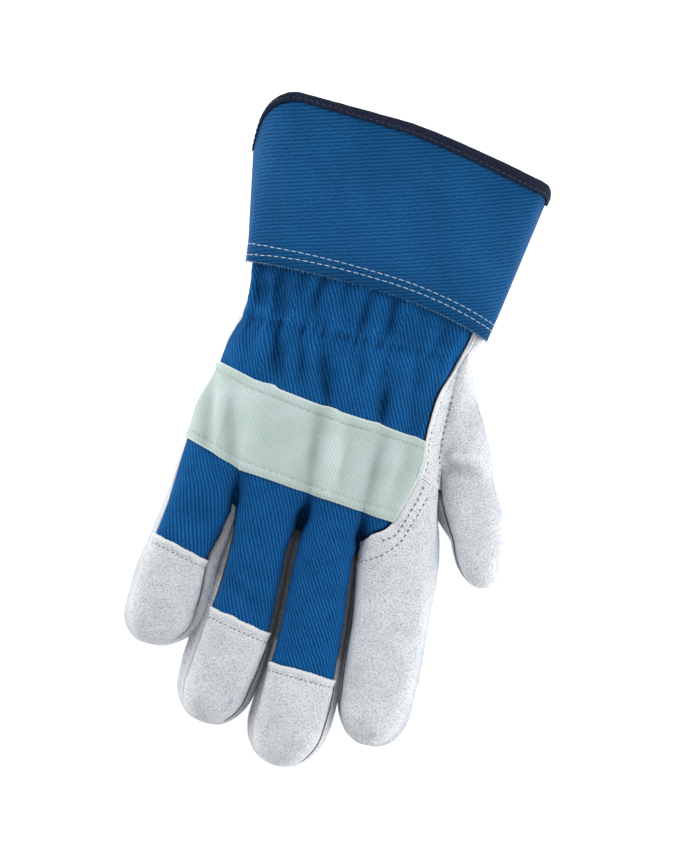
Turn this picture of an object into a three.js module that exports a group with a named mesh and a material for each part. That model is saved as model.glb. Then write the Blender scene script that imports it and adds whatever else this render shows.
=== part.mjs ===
// A right-hand work glove lying on its palm, fingers towards -Y, cuff towards +Y, thumb towards +X.
// Back of the hand in cotton twill, palm, fingertips, index finger and thumb in split leather,
// a pale knuckle strap across the back and a stiff flared cuff with a bound edge.
// Millimetres, +Z up. The origin is on the surface that the glove rests on, under the middle of the palm.
import * as THREE from 'three';
import { mergeVertices } from 'three/addons/utils/BufferGeometryUtils.js';

// Driving dimensions
const CLOTH = 1.1; // thickness of the cotton twill
const LEATHER = 1.4; // thickness of the split leather
const STRAP = 0.9; // thickness of the knuckle strap
const STRAP_LIFT = 0.6; // the strap lies this far off the cloth
const CUFF_WALL = 1.6; // rubberised twill
const TAPE = 0.8; // binding tape, folded over the edge of the cuff
const TAPE_WIDTH = 4;
const TAPE_LIFT = 0.85; // the tape lies this far off the cuff
const SEAM_GAP = 0.7; // between two panels that are sewn together
const SIDE_STEPS = 3; // faces down the side of a finger
const HAND_STEPS = 2; // rows of faces between two rows of the hand's table
const TIP_ROWS = 5; // rows of faces round a fingertip
const FRONT_TOP = 11.5; // height of the upper seam at a fingertip
const FRONT_LOW = 7; // height of the lower seam at a fingertip
const SOLE_EDGE = 4; // height of the lower seam along a finger

// Sections of the hand from the wrist to the fingers, in plan [x, y]. A border is the line where two
// fingers meet, and each reaches its own crotch. seam is the edge of the back cloth, fold is where the
// thumb leaves the hand. left, crown and right are the heights of the back at its two edges and middle.
// foot, low, thumbLow and foldLow are the heights of the sole in its middle, at its outer edge, at the
// thumb's outer edge and at the fold.
// part is how far the fingers are parted there.
const HAND = [
  { at: 'inside the cuff', outer: [-46.6, 72], littleRing: [-24, 74], ringMiddle: [0, 74.5],
    middleIndex: [22, 74], seam: [46, 71], fold: [50, 70], thumb: [51.6, 69.5],
    left: 18, crown: 35.6, right: 22, outerThumb: 17, foot: 4.4, low: 12, thumbLow: 14, foldLow: 10.4, part: 0 },
  { at: 'edge of the cuff', outer: [-47.5, 60.5], littleRing: [-24.5, 62.5], ringMiddle: [-1, 62.5],
    middleIndex: [21.5, 61.5], seam: [49, 57.5], fold: [51.4, 56.8], thumb: [52.6, 56],
    left: 18, crown: 34.4, right: 22, outerThumb: 17, foot: 4.4, low: 12, thumbLow: 14, foldLow: 11.4, part: 0 },
  { at: 'elastic', outer: [-45, 45], littleRing: [-25.5, 43.5], ringMiddle: [-3, 42.5],
    middleIndex: [18.5, 41.5], seam: [45.8, 41.5], fold: [49, 43.5], thumb: [50.4, 44.5],
    left: 14, crown: 32.4, right: 20.5, outerThumb: 13, foot: 0, low: 5.5, thumbLow: 9, foldLow: 5, part: 0 },
  { at: 'above the strap', outer: [-48.2, 29], littleRing: [-29, 28], ringMiddle: [-4, 27],
    middleIndex: [19.5, 26], seam: [42.2, 26.5], fold: [49.4, 29], thumb: [60.5, 29],
    left: 12, crown: 36, right: 19, outerThumb: 9, foot: 0, low: 2.5, thumbLow: 2.5, foldLow: 0, part: 0 },
  { at: 'upper edge of the strap', outer: [-49.2, 16.7], littleRing: [-33, 13.4], ringMiddle: [-3, 10.6],
    middleIndex: [21.5, 9.8], seam: [42.4, 8], fold: [50.6, 8.5], thumb: [71, 11],
    left: 12, crown: 37.2, right: 18, outerThumb: 9, foot: 0, low: 2.5, thumbLow: 2.5, foldLow: 1, part: 0 },
  { at: 'crotch of the thumb', outer: [-53.2, -1.5], littleRing: [-31, -6], ringMiddle: [0.5, -8.5],
    middleIndex: [23.5, -9], seam: [43.7, -5], fold: [54, -9.8], thumb: [75.4, 0],
    left: 12, crown: 36.6, right: 17.5, outerThumb: 9, foot: 0, low: 2.5, thumbLow: 2.5, foldLow: 4, part: 0.04 },
  { at: 'lower edge of the strap', outer: [-53.8, -17.6], littleRing: [-29, -24.2], ringMiddle: [2.6, -26],
    middleIndex: [25.5, -27.2], seam: [38.6, -28], fold: [56.4, -22],
    left: 13, crown: 34.6, right: 17.5, foot: 0, low: 3, foldLow: 4, part: 0.12 },
  { at: 'crotches of the fingers', outer: [-54, -36], littleRing: [-26.8, -39.2], ringMiddle: [2.2, -36],
    middleIndex: [28, -39.4], seam: [32.6, -34.9], fold: [59.2, -32.5],
    left: 16, crown: 32, right: 17.5, foot: 0, low: 4, foldLow: 4, part: 1 },
];
const WEB = 19.5; // height of the upper seams at the crotches
const WEB_HALF = 0.9; // half the width of the web at a crotch
const THUMB_CROTCH = 5; // rows of HAND where the thumb and the fingers part from the hand
const FINGER_CROTCH = 7;
const STRAP_FROM = 4; // rows of HAND between which the strap lies
const STRAP_TO = 6;

// The free length of each finger. left and right are the edges of its back panel in plan, seam the
// height of those edges, crown the height of its middle, and bulgeL and bulgeR how far its sides stand
// out past those edges. cap is the row where the leather fingertip starts. tip is its foremost point.
const FINGERS = {
  little: { tip: [-45.2, -105], cap: 2, crown0: 30, rows: [
    { left: [-54.4, -49], right: [-28.9, -51.5], seam: 18, crown: 27, bulgeL: 1.3, bulgeR: 1.6 },
    { left: [-55.6, -60.3], right: [-31.6, -65], seam: 17.5, crown: 26, bulgeL: 1.5, bulgeR: 3.4 },
    { left: [-57.4, -74], right: [-30.6, -77.5], seam: 17.5, crown: 26.5, bulgeL: 1.5, bulgeR: 3 },
    { left: [-57.6, -89.5], right: [-30.4, -89], seam: 16.5, crown: 25.5, bulgeL: 1.5, bulgeR: 2.2 },
  ] },
  ring: { tip: [-14.6, -130.4], cap: 3, crown0: 32, rows: [
    { left: [-24, -52], right: [-0.4, -50.5], seam: 19, crown: 29.5, bulgeL: 1.2, bulgeR: 1.2 },
    { left: [-23.4, -67], right: [0.6, -67], seam: 18.5, crown: 28, bulgeL: 1.6, bulgeR: 1.4 },
    { left: [-24, -83], right: [2, -87.3], seam: 18, crown: 27.5, bulgeL: 2.2, bulgeR: 1.2 },
    { left: [-25.2, -99], right: [1.6, -101], seam: 18, crown: 28, bulgeL: 3.2, bulgeR: 1.6 },
    { left: [-26.2, -113.5], right: [-0.2, -114.5], seam: 16.5, crown: 26.5, bulgeL: 2.4, bulgeR: 2.2 },
  ] },
  middle: { tip: [19.8, -139.4], cap: 4, crown0: 32.5, rows: [
    { left: [3, -50], right: [27.8, -52], seam: 19.5, crown: 30.5, bulgeL: 1.2, bulgeR: 0.5 },
    { left: [4.4, -66], right: [30, -67.5], seam: 19, crown: 29.5, bulgeL: 1.3, bulgeR: 0.7 },
    { left: [5.6, -83], right: [32.2, -84.5], seam: 18.5, crown: 28.5, bulgeL: 1.4, bulgeR: 0.9 },
    { left: [5.8, -98.5], right: [33.6, -98.6], seam: 18.5, crown: 28, bulgeL: 1.4, bulgeR: 1.6 },
    { left: [5.8, -110.5], right: [34.6, -110], seam: 18, crown: 28.5, bulgeL: 1.6, bulgeR: 2 },
    { left: [5.6, -122], right: [34.6, -121], seam: 16.5, crown: 27, bulgeL: 1.8, bulgeR: 1.9 },
  ] },
  index: { tip: [53.6, -120.7], cap: 0, crown0: 31.5, rows: [
    { left: [29.4, -50], middle: [43.6, -44], right: [61.4, -46], seam: 19, crown: 30.5, bulgeL: 0.5, bulgeR: 1.6 },
    { left: [32, -61.5], middle: [46.4, -59.5], right: [62.8, -59.5], seam: 18.5, crown: 29.5, bulgeL: 0.7, bulgeR: 1.2 },
    { left: [34.4, -75], middle: [48.8, -74], right: [64.4, -73.5], seam: 18.5, crown: 28.5, bulgeL: 0.9, bulgeR: 1.4 },
    { left: [36, -89], middle: [50.4, -88.4], right: [65.6, -87.5], seam: 18, crown: 28, bulgeL: 0.7, bulgeR: 1.6 },
    { left: [38.2, -103.5], middle: [51.8, -103], right: [66, -101.5], seam: 16.5, crown: 26.5, bulgeL: 0.7, bulgeR: 1.8 },
  ] },
  thumb: { tip: [82.2, -44.4], cap: 0, crown0: 26, rows: [
    { left: [59.6, -19], right: [81.4, -11.6], seam: 14, crown: 25.5, bulgeL: 3.2, bulgeR: 1 },
    { left: [66.2, -29], right: [86, -24.6], seam: 13, crown: 23, bulgeL: 2.8, bulgeR: 1 },
  ] },
};

// Gathers and dents of the back cloth: a valley runs in plan from one point to the other, wide to each
// side of its line and deep in the middle of its length.
const FOLDS = [
  { from: [-43.6, 66], to: [-39, 43], wide: 2.8, deep: 3.2 },
  { from: [-35, 66], to: [-31, 40], wide: 2.8, deep: 3.2 },
  { from: [-26.6, 66], to: [-23.4, 45], wide: 2.6, deep: 1.8 },
  { from: [-18.6, 67], to: [-14, 39], wide: 3, deep: 3 },
  { from: [-8.4, 66], to: [-5.4, 45], wide: 2.8, deep: 1.8 },
  { from: [2.6, 66], to: [4.6, 43], wide: 2.8, deep: 2.4 },
  { from: [14.2, 66], to: [15.4, 42], wide: 3, deep: 3 },
  { from: [25.6, 64], to: [26.8, 43], wide: 2.8, deep: 1.8 },
  { from: [36.6, 62], to: [36, 42], wide: 3, deep: 2.4 },
  { from: [-41, 42], to: [-39, 21], wide: 2.8, deep: 1.8 },
  { from: [-30.4, 41], to: [-24.4, 12], wide: 3.2, deep: 3 },
  { from: [-18.4, 40], to: [-13.4, 18], wide: 3, deep: 2.2 },
  { from: [-8.6, 38], to: [0.6, 9], wide: 3.4, deep: 3 },
  { from: [6.6, 40], to: [10.6, 21], wide: 3, deep: 1.6 },
  { from: [18.6, 36], to: [22.4, 6], wide: 3.4, deep: 2.6 },
  { from: [30.4, 40], to: [30.8, 18], wide: 3, deep: 1.6 },
  { from: [38.4, 36], to: [37.6, 7], wide: 3, deep: 2 },
  { from: [-37, 10], to: [-41, -24], wide: 3.6, deep: 1.4 },
  { from: [-12, 10], to: [-10.6, -22], wide: 3.6, deep: 1.2 },
  { from: [10, 8], to: [12.6, -24], wide: 3.4, deep: 1.4 },
];

// The cuff: its two side edges in plan at four places along it, and the heights of its under and upper
// sides there.
const CUFF = [
  { y: 54, left: -49.6, right: 55.8, base: -0.2, high: 37.8 },
  { y: 70, left: -52, right: 58, base: 0, high: 39 },
  { y: 96, left: -58.9, right: 61.2, base: 0.4, high: 41.4 },
  { y: 138, left: -64.4, right: 65.6, base: 1.4, high: 44 },
];
const CUFF_SQUARENESS = 3.3; // 2 is an ellipse
const CUFF_LOW_EDGE = { y: 63, dropLeft: 3, dropRight: 7.6 };
const CUFF_HIGH_EDGE = {
  y: 132.8, dropLeft: 0.6, dropRight: 9, sideDip: 6, cornerLeft: [0.26, 26], cornerRight: [0.06, 5],
};
const CUFF_SIDES = 56;
const CUFF_ROWS = 4;

const COLOURS = { cloth: 0x14589f, leather: 0xc9cdd4, strap: 0xcfded6, cuff: 0x1f5f9f, tape: 0x20263c };

const mix = (a, b, t) => a + (b - a) * t;
const clamp01 = (t) => Math.min(1, Math.max(0, t));
const ease = (t) => clamp01(t) ** 2 * (3 - 2 * clamp01(t));

// A smooth curve through equally spaced values, which may be numbers or lists of numbers.
function through(values, t) {
  const last = values.length - 1;
  const i = Math.min(last - 1, Math.max(0, Math.floor(t)));
  const f = t - i;
  const [b, c] = [values[i], values[i + 1]];
  const blend = (p, q, r, s) =>
    0.5 * (2 * q + (r - p) * f + (2 * p - 5 * q + 4 * r - s) * f * f + (3 * q - p - 3 * r + s) * f ** 3);
  const ends = (q, r, before, after) => blend(before ?? 2 * q - r, q, r, after ?? 2 * r - q);
  if (Array.isArray(b)) return b.map((_, k) => ends(b[k], c[k], values[i - 1]?.[k], values[i + 2]?.[k]));
  return ends(b, c, values[i - 1], values[i + 2]);
}
const crotchOf = (tongue) => (tongue.name === 'thumb' ? THUMB_CROTCH : FINGER_CROTCH);
const handRow = (name, v, end = FINGER_CROTCH) => through(HAND.slice(0, end + 1).map((row) => row[name]), v);

// How deep the gathers are at a point of the back.
function gather(x, y) {
  return FOLDS.reduce((sum, { from, to, wide, deep }) => {
    const [dx, dy] = [to[0] - from[0], to[1] - from[1]];
    const t = ((x - from[0]) * dx + (y - from[1]) * dy) / (dx * dx + dy * dy);
    const off = Math.hypot(x - mix(from[0], to[0], t), y - mix(from[1], to[1], t));
    return sum + (t < 0 || t > 1 ? 0 : deep * Math.sin(Math.PI * t) ** 0.7 * Math.exp(-((off / wide) ** 2)));
  }, 0);
}

// The five tongues of the skin. leftOf and rightOf are the borders that a tongue shares with its
// neighbours, columns the faces across its back and sole.
const TONGUES = [
  { name: 'little', leftOf: 'outer', rightOf: 'littleRing', columns: 8, soleColumns: 5 },
  { name: 'ring', leftOf: 'littleRing', rightOf: 'ringMiddle', columns: 8, soleColumns: 4 },
  { name: 'middle', leftOf: 'ringMiddle', rightOf: 'middleIndex', columns: 8, soleColumns: 4 },
  { name: 'index', leftOf: 'middleIndex', middle: 'seam', rightOf: 'fold', columns: 9, soleColumns: 5 },
  { name: 'thumb', leftOf: 'fold', rightOf: 'thumb', columns: 6, soleColumns: 5 },
];
const CLOTH_COLUMNS = 6; // of the index tongue, up to the seam of the back cloth
const INDEX_CLOTH = CLOTH_COLUMNS / 9;

// A border of a tongue, which leaves its neighbour's just before their crotch.
function border(name, v, half) {
  const [x, y] = handRow(name, v, name === 'thumb' ? THUMB_CROTCH : FINGER_CROTCH);
  if (name === 'outer' || name === 'thumb') return [x, y];
  const crotch = name === 'fold' ? THUMB_CROTCH : FINGER_CROTCH;
  return [x + half * clamp01((v - crotch) * HAND_STEPS + 1), y];
}

// One section of a tongue: v counts rows of HAND and then rows of its own table, and past the last row
// it runs from 0 to 1 round the tip. left and right are [x, y], the rest are heights and bulges.
function section(tongue, v) {
  const finger = FINGERS[tongue.name];
  const crotch = crotchOf(tongue);
  if (v <= crotch) {
    const [isOuter, isFold] = [tongue.leftOf === 'outer', tongue.rightOf === 'fold'];
    return {
      left: border(tongue.leftOf, v, WEB_HALF),
      right: border(tongue.rightOf, v, -WEB_HALF),
      middle: tongue.middle && handRow(tongue.middle, v),
      bulgeL: isOuter ? 0.6 : 0,
      bulgeR: isFold ? 1.6 * ease((v - THUMB_CROTCH) / 2) : tongue.name === 'thumb' ? 1 : 0,
      seamL: edgeHeight(tongue, v, -1), seamR: edgeHeight(tongue, v, 1),
      crown: finger.crown0, lowL: edgeLow(tongue, v, -1), lowR: edgeLow(tongue, v, 1), body: true,
    };
  }
  const start = section(tongue, crotch);
  const rows = finger.rows.length;
  const along = Math.min(v - crotch, rows);
  const list = (name, first = start[name]) => [first, ...finger.rows.map((row) => row[name])];
  const made = Object.fromEntries(
    ['left', 'right', 'crown', 'bulgeL', 'bulgeR'].map((name) => [name, through(list(name), along)]));
  made.seamL = through(list('seam', start.seamL), along);
  made.seamR = through(list('seam', start.seamR), along);
  made.lowL = mix(start.lowL, SOLE_EDGE, clamp01(along));
  made.lowR = mix(start.lowR, SOLE_EDGE, clamp01(along));
  made.middle = tongue.middle && through(list('middle'), along);
  const round = clamp01(v - crotch - rows);
  return round > 0 ? roundTip(made, finger.tip, round) : made;
}

// Draws a section in towards the tip, as a quarter circle in plan and in side view.
function roundTip(made, tip, round) {
  const angle = (round * Math.PI) / 2;
  const [shrink, reach] = [Math.cos(angle) ** 0.92, Math.sin(angle)];
  const centre = [0, 1].map((k) => (made.left[k] + made.right[k]) / 2);
  const moved = (p) => p.map((value, k) => mix(centre[k], tip[k], reach) + (value - centre[k]) * shrink);
  const seam = mix((made.seamL + made.seamR) / 2, FRONT_TOP, reach ** 1.6);
  const low = mix(SOLE_EDGE, FRONT_LOW, reach ** 1.6);
  return {
    left: moved(made.left), right: moved(made.right), middle: made.middle && moved(made.middle),
    seamL: seam, seamR: seam, lowL: low, lowR: low,
    crown: seam + (made.crown - seam) * Math.cos(angle) ** 0.8,
    keel: FRONT_LOW * (1 - Math.cos(angle) ** 0.5),
    bulgeL: made.bulgeL * shrink, bulgeR: made.bulgeR * shrink,
    atTip: round >= 1,
  };
}

// Height of the hand's back, where n runs from -1 at the outer edge to 1 at the thumb's fold.
function archHeight(n, v) {
  const edge = handRow(n < 0 ? 'left' : 'right', v);
  const squareness = mix(3.6, 2.7, ease(v / 2));
  return edge + (handRow('crown', v) - edge) * Math.sqrt(1 - Math.min(1, Math.abs(n)) ** squareness);
}
function acrossHand(x, v) {
  const [from, to] = [handRow('outer', v)[0], handRow('fold', v)[0]];
  return (2 * (x - from)) / (to - from) - 1;
}

// Heights of the upper seam at the left edge of a tongue, with hand at -1, and at its right edge.
function edgeHeight(tongue, v, hand) {
  const name = hand < 0 ? tongue.leftOf : tongue.rightOf;
  if (name === 'thumb') return handRow('outerThumb', v, THUMB_CROTCH);
  return { outer: handRow('left', v), fold: handRow('right', v) }[name] ?? WEB;
}
// Heights of the sole at the same edges.
function edgeLow(tongue, v, hand) {
  const name = hand < 0 ? tongue.leftOf : tongue.rightOf;
  if (name === 'fold') return handRow('foldLow', v);
  if (name === 'outer') return handRow('low', v);
  if (name === 'thumb') return handRow('thumbLow', v, THUMB_CROTCH);
  return mix(handRow('foot', v), SOLE_EDGE, clamp01(handRow('part', v) * 2 - 1));
}

// Plan position across a section, with s from -1 at its left edge to 1 at its right edge.
function plan(cut, s) {
  const at = (s + 1) / 2;
  const line = (p, q, t) => [mix(p[0], q[0], t), mix(p[1], q[1], t)];
  if (!cut.middle) return line(cut.left, cut.right, at);
  return at < INDEX_CLOTH
    ? line(cut.left, cut.middle, at / INDEX_CLOTH)
    : line(cut.middle, cut.right, (at - INDEX_CLOTH) / (1 - INDEX_CLOTH));
}

// How far across the finger a plan position lies, from -1 to 1, also where the columns are uneven.
function acrossFinger({ left, right }, [x, y]) {
  const [dx, dy] = [right[0] - left[0], right[1] - left[1]];
  const size = dx * dx + dy * dy;
  return size < 1e-6 ? 0 : (2 * ((x - left[0]) * dx + (y - left[1]) * dy)) / size - 1;
}

function backPoint(tongue, v, s) {
  const cut = section(tongue, v);
  const [x, y] = plan(cut, s);
  const low = mix(cut.seamL, cut.seamR, (s + 1) / 2);
  const n = cut.middle ? acrossFinger(cut, [x, y]) : s;
  const tube = low + (cut.crown - low) * Math.max(0, 1 - Math.abs(n) ** 2.4) ** 0.55;
  if (!cut.body) return [x, y, tube];
  if (tongue.name === 'thumb') return [x, y, mix(low, tube, ease((v - 1.8) / 3.2))];
  const flat = archHeight(acrossHand(x, v), v);
  return [x, y, mix(flat, tube, handRow('part', v)) - gather(x, y)];
}

function solePoint(tongue, v, s) {
  const cut = section(tongue, v);
  const [x, y] = plan(cut, s);
  const from = cut.body ? mix(-0.6, 0.35, ease(v / 3)) : 0.35;
  const rise = clamp01((Math.abs(s) - from) / (1 - from)) ** 2;
  const narrow = tongue.name === 'thumb' ? 1 - ease((v - 1.5) / 1.5) : 0;
  const foot = cut.body ? mix(handRow('foot', v), (cut.lowL + cut.lowR) / 2, narrow) : (cut.keel ?? 0);
  return [x, y, mix(foot, s < 0 ? cut.lowL : cut.lowR, rise)];
}

// A point down the side of a tongue, from its upper edge at r = 0 to its lower edge at r = 1.
function sidePoint(tongue, v, hand, r) {
  const [top, low] = [backPoint(tongue, v, hand), solePoint(tongue, v, hand)];
  const cut = section(tongue, v);
  const step = 0.02;
  const [a, b] = [section(tongue, Math.max(0, v - step)), section(tongue, v + step)];
  const name = hand < 0 ? 'left' : 'right';
  const along = [b[name][0] - a[name][0], b[name][1] - a[name][1]];
  const length = Math.hypot(...along) || 1;
  const bulge = (hand < 0 ? cut.bulgeL : cut.bulgeR) * Math.sin(Math.PI * r);
  const out = cut.atTip ? [0, -1] : [(hand * -along[1]) / length, (hand * along[0]) / length];
  return [top[0] + out[0] * bulge, top[1] + out[1] * bulge, mix(top[2], low[2], r)];
}

// A patch of skin: a grid of points over rows and columns, wound so that it faces outwards.
function patch(rows, columns, point, flip) {
  const points = rows.map((v) => Array.from({ length: columns + 1 }, (_, c) => point(v, c / columns)));
  const faces = [];
  for (let i = 0; i < rows.length - 1; i++)
    for (let c = 0; c < columns; c++) {
      const quad = [points[i][c], points[i + 1][c], points[i + 1][c + 1], points[i][c + 1]];
      faces.push(flip ? quad.reverse() : quad);
    }
  return faces;
}
const steps = (from, to, each) => {
  const count = Math.round((to - from) * each);
  return Array.from({ length: count + 1 }, (_, i) => from + i / each);
};

// The rows of a tongue between two values of v: fine on the hand and round the tip, and one for each row
// of its table in between.
function rowsOf(tongue, from, to) {
  const crotch = crotchOf(tongue);
  const round = crotch + FINGERS[tongue.name].rows.length;
  const within = (values) => values.filter((v) => v >= from && v <= to);
  return [
    ...within(steps(0, crotch, HAND_STEPS)),
    ...within(steps(crotch, round, 1).slice(1)),
    ...within(steps(round, round + 1, TIP_ROWS).slice(1)),
  ];
}
const endOf = (tongue) => crotchOf(tongue) + FINGERS[tongue.name].rows.length + 1;

// The web between two tongues at their crotch, and the small gore over or under it.
function web(leftTongue, rightTongue, crotch) {
  return patch(steps(0, 1, SIDE_STEPS), 1, (r, share) =>
    sidePoint(share ? rightTongue : leftTongue, crotch, share ? -1 : 1, r));
}
function gore(leftTongue, rightTongue, crotch, pointOf) {
  const before = pointOf(leftTongue, crotch - 1 / HAND_STEPS, 1);
  const corners = [before, pointOf(leftTongue, crotch, 1), pointOf(rightTongue, crotch, -1)];
  return [pointOf === solePoint ? corners.reverse() : corners];
}

const back = (tongue, from, to, c0 = 0, c1 = tongue.columns) =>
  patch(rowsOf(tongue, from, to), c1 - c0,
    (v, share) => backPoint(tongue, v, (2 * (c0 + share * (c1 - c0))) / tongue.columns - 1));
const sole = (tongue, from, to) =>
  patch(rowsOf(tongue, from, to), tongue.soleColumns, (v, share) => solePoint(tongue, v, 2 * share - 1), true);
const side = (tongue, hand, from, to) =>
  patch(rowsOf(tongue, from, to), SIDE_STEPS, (v, r) => sidePoint(tongue, v, hand, r), hand < 0);

// The skin of the whole hand, cut into the panels that it is sewn from.
const [little, ring, middle, index, thumb] = TONGUES;
const fingerTongues = [little, ring, middle];
const capRow = (tongue) => FINGER_CROTCH + FINGERS[tongue.name].cap;
const PAIRS = { little_ring: [little, ring], ring_middle: [ring, middle], middle_index: [middle, index] };
const fork = ([a, b]) => [
  ...side(a, 1, FINGER_CROTCH, endOf(a)), ...web(a, b, FINGER_CROTCH), ...side(b, -1, FINGER_CROTCH, endOf(b)),
];
const fingerGores = (pointOf) => Object.values(PAIRS).flatMap(([a, b]) => gore(a, b, FINGER_CROTCH, pointOf));
const PANELS = {
  back_cloth: [
    ...fingerTongues.flatMap((t) => back(t, 0, capRow(t))),
    ...back(index, 0, FINGER_CROTCH, 0, CLOTH_COLUMNS),
    ...fingerGores(backPoint),
  ],
  ...Object.fromEntries(fingerTongues.map((t) => [t.name + '_cap', back(t, capRow(t), endOf(t))])),
  side_band: back(index, 0, THUMB_CROTCH, CLOTH_COLUMNS),
  index_back: [
    ...back(index, THUMB_CROTCH, FINGER_CROTCH, CLOTH_COLUMNS),
    ...back(index, FINGER_CROTCH, endOf(index)),
    ...side(index, 1, THUMB_CROTCH, endOf(index)),
  ],
  ...Object.fromEntries(Object.entries(PAIRS).map(([name, pair]) => ['fork_' + name, fork(pair)])),
  palm_leather: [
    ...[little, ring, middle, index].flatMap((t) => sole(t, 0, endOf(t))),
    ...side(little, -1, 0, endOf(little)),
    ...fingerGores(solePoint), ...gore(index, thumb, THUMB_CROTCH, solePoint),
  ],
  thumb_back: [
    ...back(thumb, 0, endOf(thumb)), ...side(thumb, 1, 0, endOf(thumb)),
    ...gore(index, thumb, THUMB_CROTCH, backPoint),
  ],
  thumb_front: [
    ...sole(thumb, 0, endOf(thumb)), ...side(thumb, -1, THUMB_CROTCH, endOf(thumb)),
    ...web(index, thumb, THUMB_CROTCH),
  ],
};

// Numbers the corners of faces, so that corners at one place are one vertex.
function weld(faces) {
  const found = new Map();
  const points = [];
  const indexOf = (p) => {
    const key = p.map((value) => Math.round(value * 200)).join();
    if (!found.has(key)) {
      found.set(key, points.length);
      points.push(new THREE.Vector3(...p));
    }
    return found.get(key);
  };
  const numbered = faces
    .map((face) => face.map(indexOf).filter((n, i, all) => n !== all[(i + 1) % all.length]))
    .filter((face) => face.length > 2 && new Set(face).size === face.length);
  return { points, faces: numbered, indexOf };
}
const faceNormal = (points, face) => {
  const total = new THREE.Vector3();
  const cross = new THREE.Vector3();
  face.forEach((n, i) => total.add(cross.crossVectors(points[n], points[face[(i + 1) % face.length]])));
  return total.normalize();
};

// The outward direction at each vertex of a skin, long enough to hold the wall's thickness at a corner.
function directions({ points, faces }) {
  const sums = points.map(() => new THREE.Vector3());
  const around = points.map(() => []);
  for (const face of faces) {
    const normal = faceNormal(points, face);
    face.forEach((n, i) => {
      const a = points[face[(i + 1) % face.length]].clone().sub(points[n]);
      const b = points[face[(i + face.length - 1) % face.length]].clone().sub(points[n]);
      sums[n].addScaledVector(normal, a.angleTo(b));
      around[n].push(normal);
    });
  }
  return sums.map((sum, n) => {
    const direction = sum.normalize();
    const least = Math.min(...around[n].map((normal) => normal.dot(direction)));
    return direction.multiplyScalar(1 / Math.max(0.6, least));
  });
}

// A closed wall over a panel: from `outer` to `inner` along the skin's own directions, with its open
// edges drawn back by half of a seam's gap.
function wall(faces, skin, skinDirections, outer, inner) {
  const panel = weld(faces);
  const direction = panel.points.map((p) => skinDirections[skin.indexOf(p.toArray())]);
  const edges = new Map();
  for (const face of panel.faces)
    face.forEach((a, i) => edges.set(a + '_' + face[(i + 1) % face.length], face));
  const open = [...edges.keys()].map((key) => key.split('_').map(Number)).filter(([a, b]) => !edges.has(b + '_' + a));
  const pull = panel.points.map(() => new THREE.Vector3());
  for (const [a, b] of open) {
    const normal = faceNormal(panel.points, edges.get(a + '_' + b));
    const inwards = normal.cross(panel.points[b].clone().sub(panel.points[a])).normalize();
    pull[a].add(inwards);
    pull[b].add(inwards);
  }
  const pulled = panel.points.map((p, n) =>
    p.clone().addScaledVector(pull[n].clone().normalize(), pull[n].lengthSq() > 0 ? SEAM_GAP / 2 / Math.max(0.6, pull[n].length() / 2) : 0));
  const side = (distance) => pulled.map((p, n) => p.clone().addScaledVector(direction[n], distance));
  const points = [...side(outer), ...side(inner)];
  const count = panel.points.length;
  const triangles = [];
  const fan = (face) => face.slice(2).forEach((_, i) => triangles.push(face[0], face[i + 1], face[i + 2]));
  panel.faces.forEach((face) => fan(face));
  panel.faces.forEach((face) => fan(face.map((n) => n + count).reverse()));
  const place = panel.points.map((p) => skin.indexOf(p.toArray()));
  open.forEach(([a, b]) => {
    const rim = [b, a, a + count, b + count];
    fan(place[a] < place[b] ? rim : [...rim.slice(1), rim[0]]);
  });
  return geometryOf(points, triangles);
}

function geometryOf(points, triangles) {
  const geometry = new THREE.BufferGeometry();
  geometry.setAttribute('position', new THREE.Float32BufferAttribute(points.flatMap((p) => p.toArray()), 3));
  geometry.setIndex(triangles);
  return mergeVertices(geometry, 1e-4);
}

// The cuff's outer surface: turn goes once round it, and y runs along it.
function cuffPoint(turn, y) {
  const along = (name) => {
    const i = Math.max(0, CUFF.findIndex((row) => row.y > y) - 1);
    const j = y >= CUFF.at(-1).y ? CUFF.length - 2 : i;
    return mix(CUFF[j][name], CUFF[j + 1][name], (y - CUFF[j].y) / (CUFF[j + 1].y - CUFF[j].y));
  };
  const squared = (value) => Math.sign(value) * Math.abs(value) ** (2 / CUFF_SQUARENESS);
  const share = (value) => (1 + squared(value)) / 2;
  return [
    mix(along('left'), along('right'), share(Math.cos(turn))), y,
    mix(along('base'), along('high'), share(Math.sin(turn))),
  ];
}
// The cuff's two edges, where n runs from -1 at its left side to 1 at its right side.
const cornerDrop = (n, [share, deep]) => deep * (1 - Math.sqrt(1 - 0.96 * clamp01((n - 1 + share) / share) ** 2));
const lowEdge = (n) =>
  CUFF_LOW_EDGE.y - (n < 0 ? CUFF_LOW_EDGE.dropLeft : CUFF_LOW_EDGE.dropRight) * Math.abs(n) ** 2.2;
const highEdge = (n) =>
  CUFF_HIGH_EDGE.y - CUFF_HIGH_EDGE.dropLeft * clamp01(-n) - CUFF_HIGH_EDGE.dropRight * clamp01(n) ** 1.25 -
  CUFF_HIGH_EDGE.sideDip * clamp01(-n) ** 60 -
  cornerDrop(n, CUFF_HIGH_EDGE.cornerRight) - cornerDrop(-n, CUFF_HIGH_EDGE.cornerLeft);
const acrossCuff = (turn) => Math.sign(Math.cos(turn)) * Math.abs(Math.cos(turn)) ** (2 / CUFF_SQUARENESS);

// Turns spaced so that the two folded sides of the cuff get short faces too.
const TURNS = Array.from({ length: CUFF_SIDES + 1 }, (_, i) => (i / CUFF_SIDES) * 2 * Math.PI);

function cuffNormal(turn, y) {
  const d = 0.01;
  const p = new THREE.Vector3(...cuffPoint(turn, y));
  const round = new THREE.Vector3(...cuffPoint(turn + d, y)).sub(p);
  const along = new THREE.Vector3(...cuffPoint(turn, y + d)).sub(p);
  return along.cross(round).normalize();
}

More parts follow.
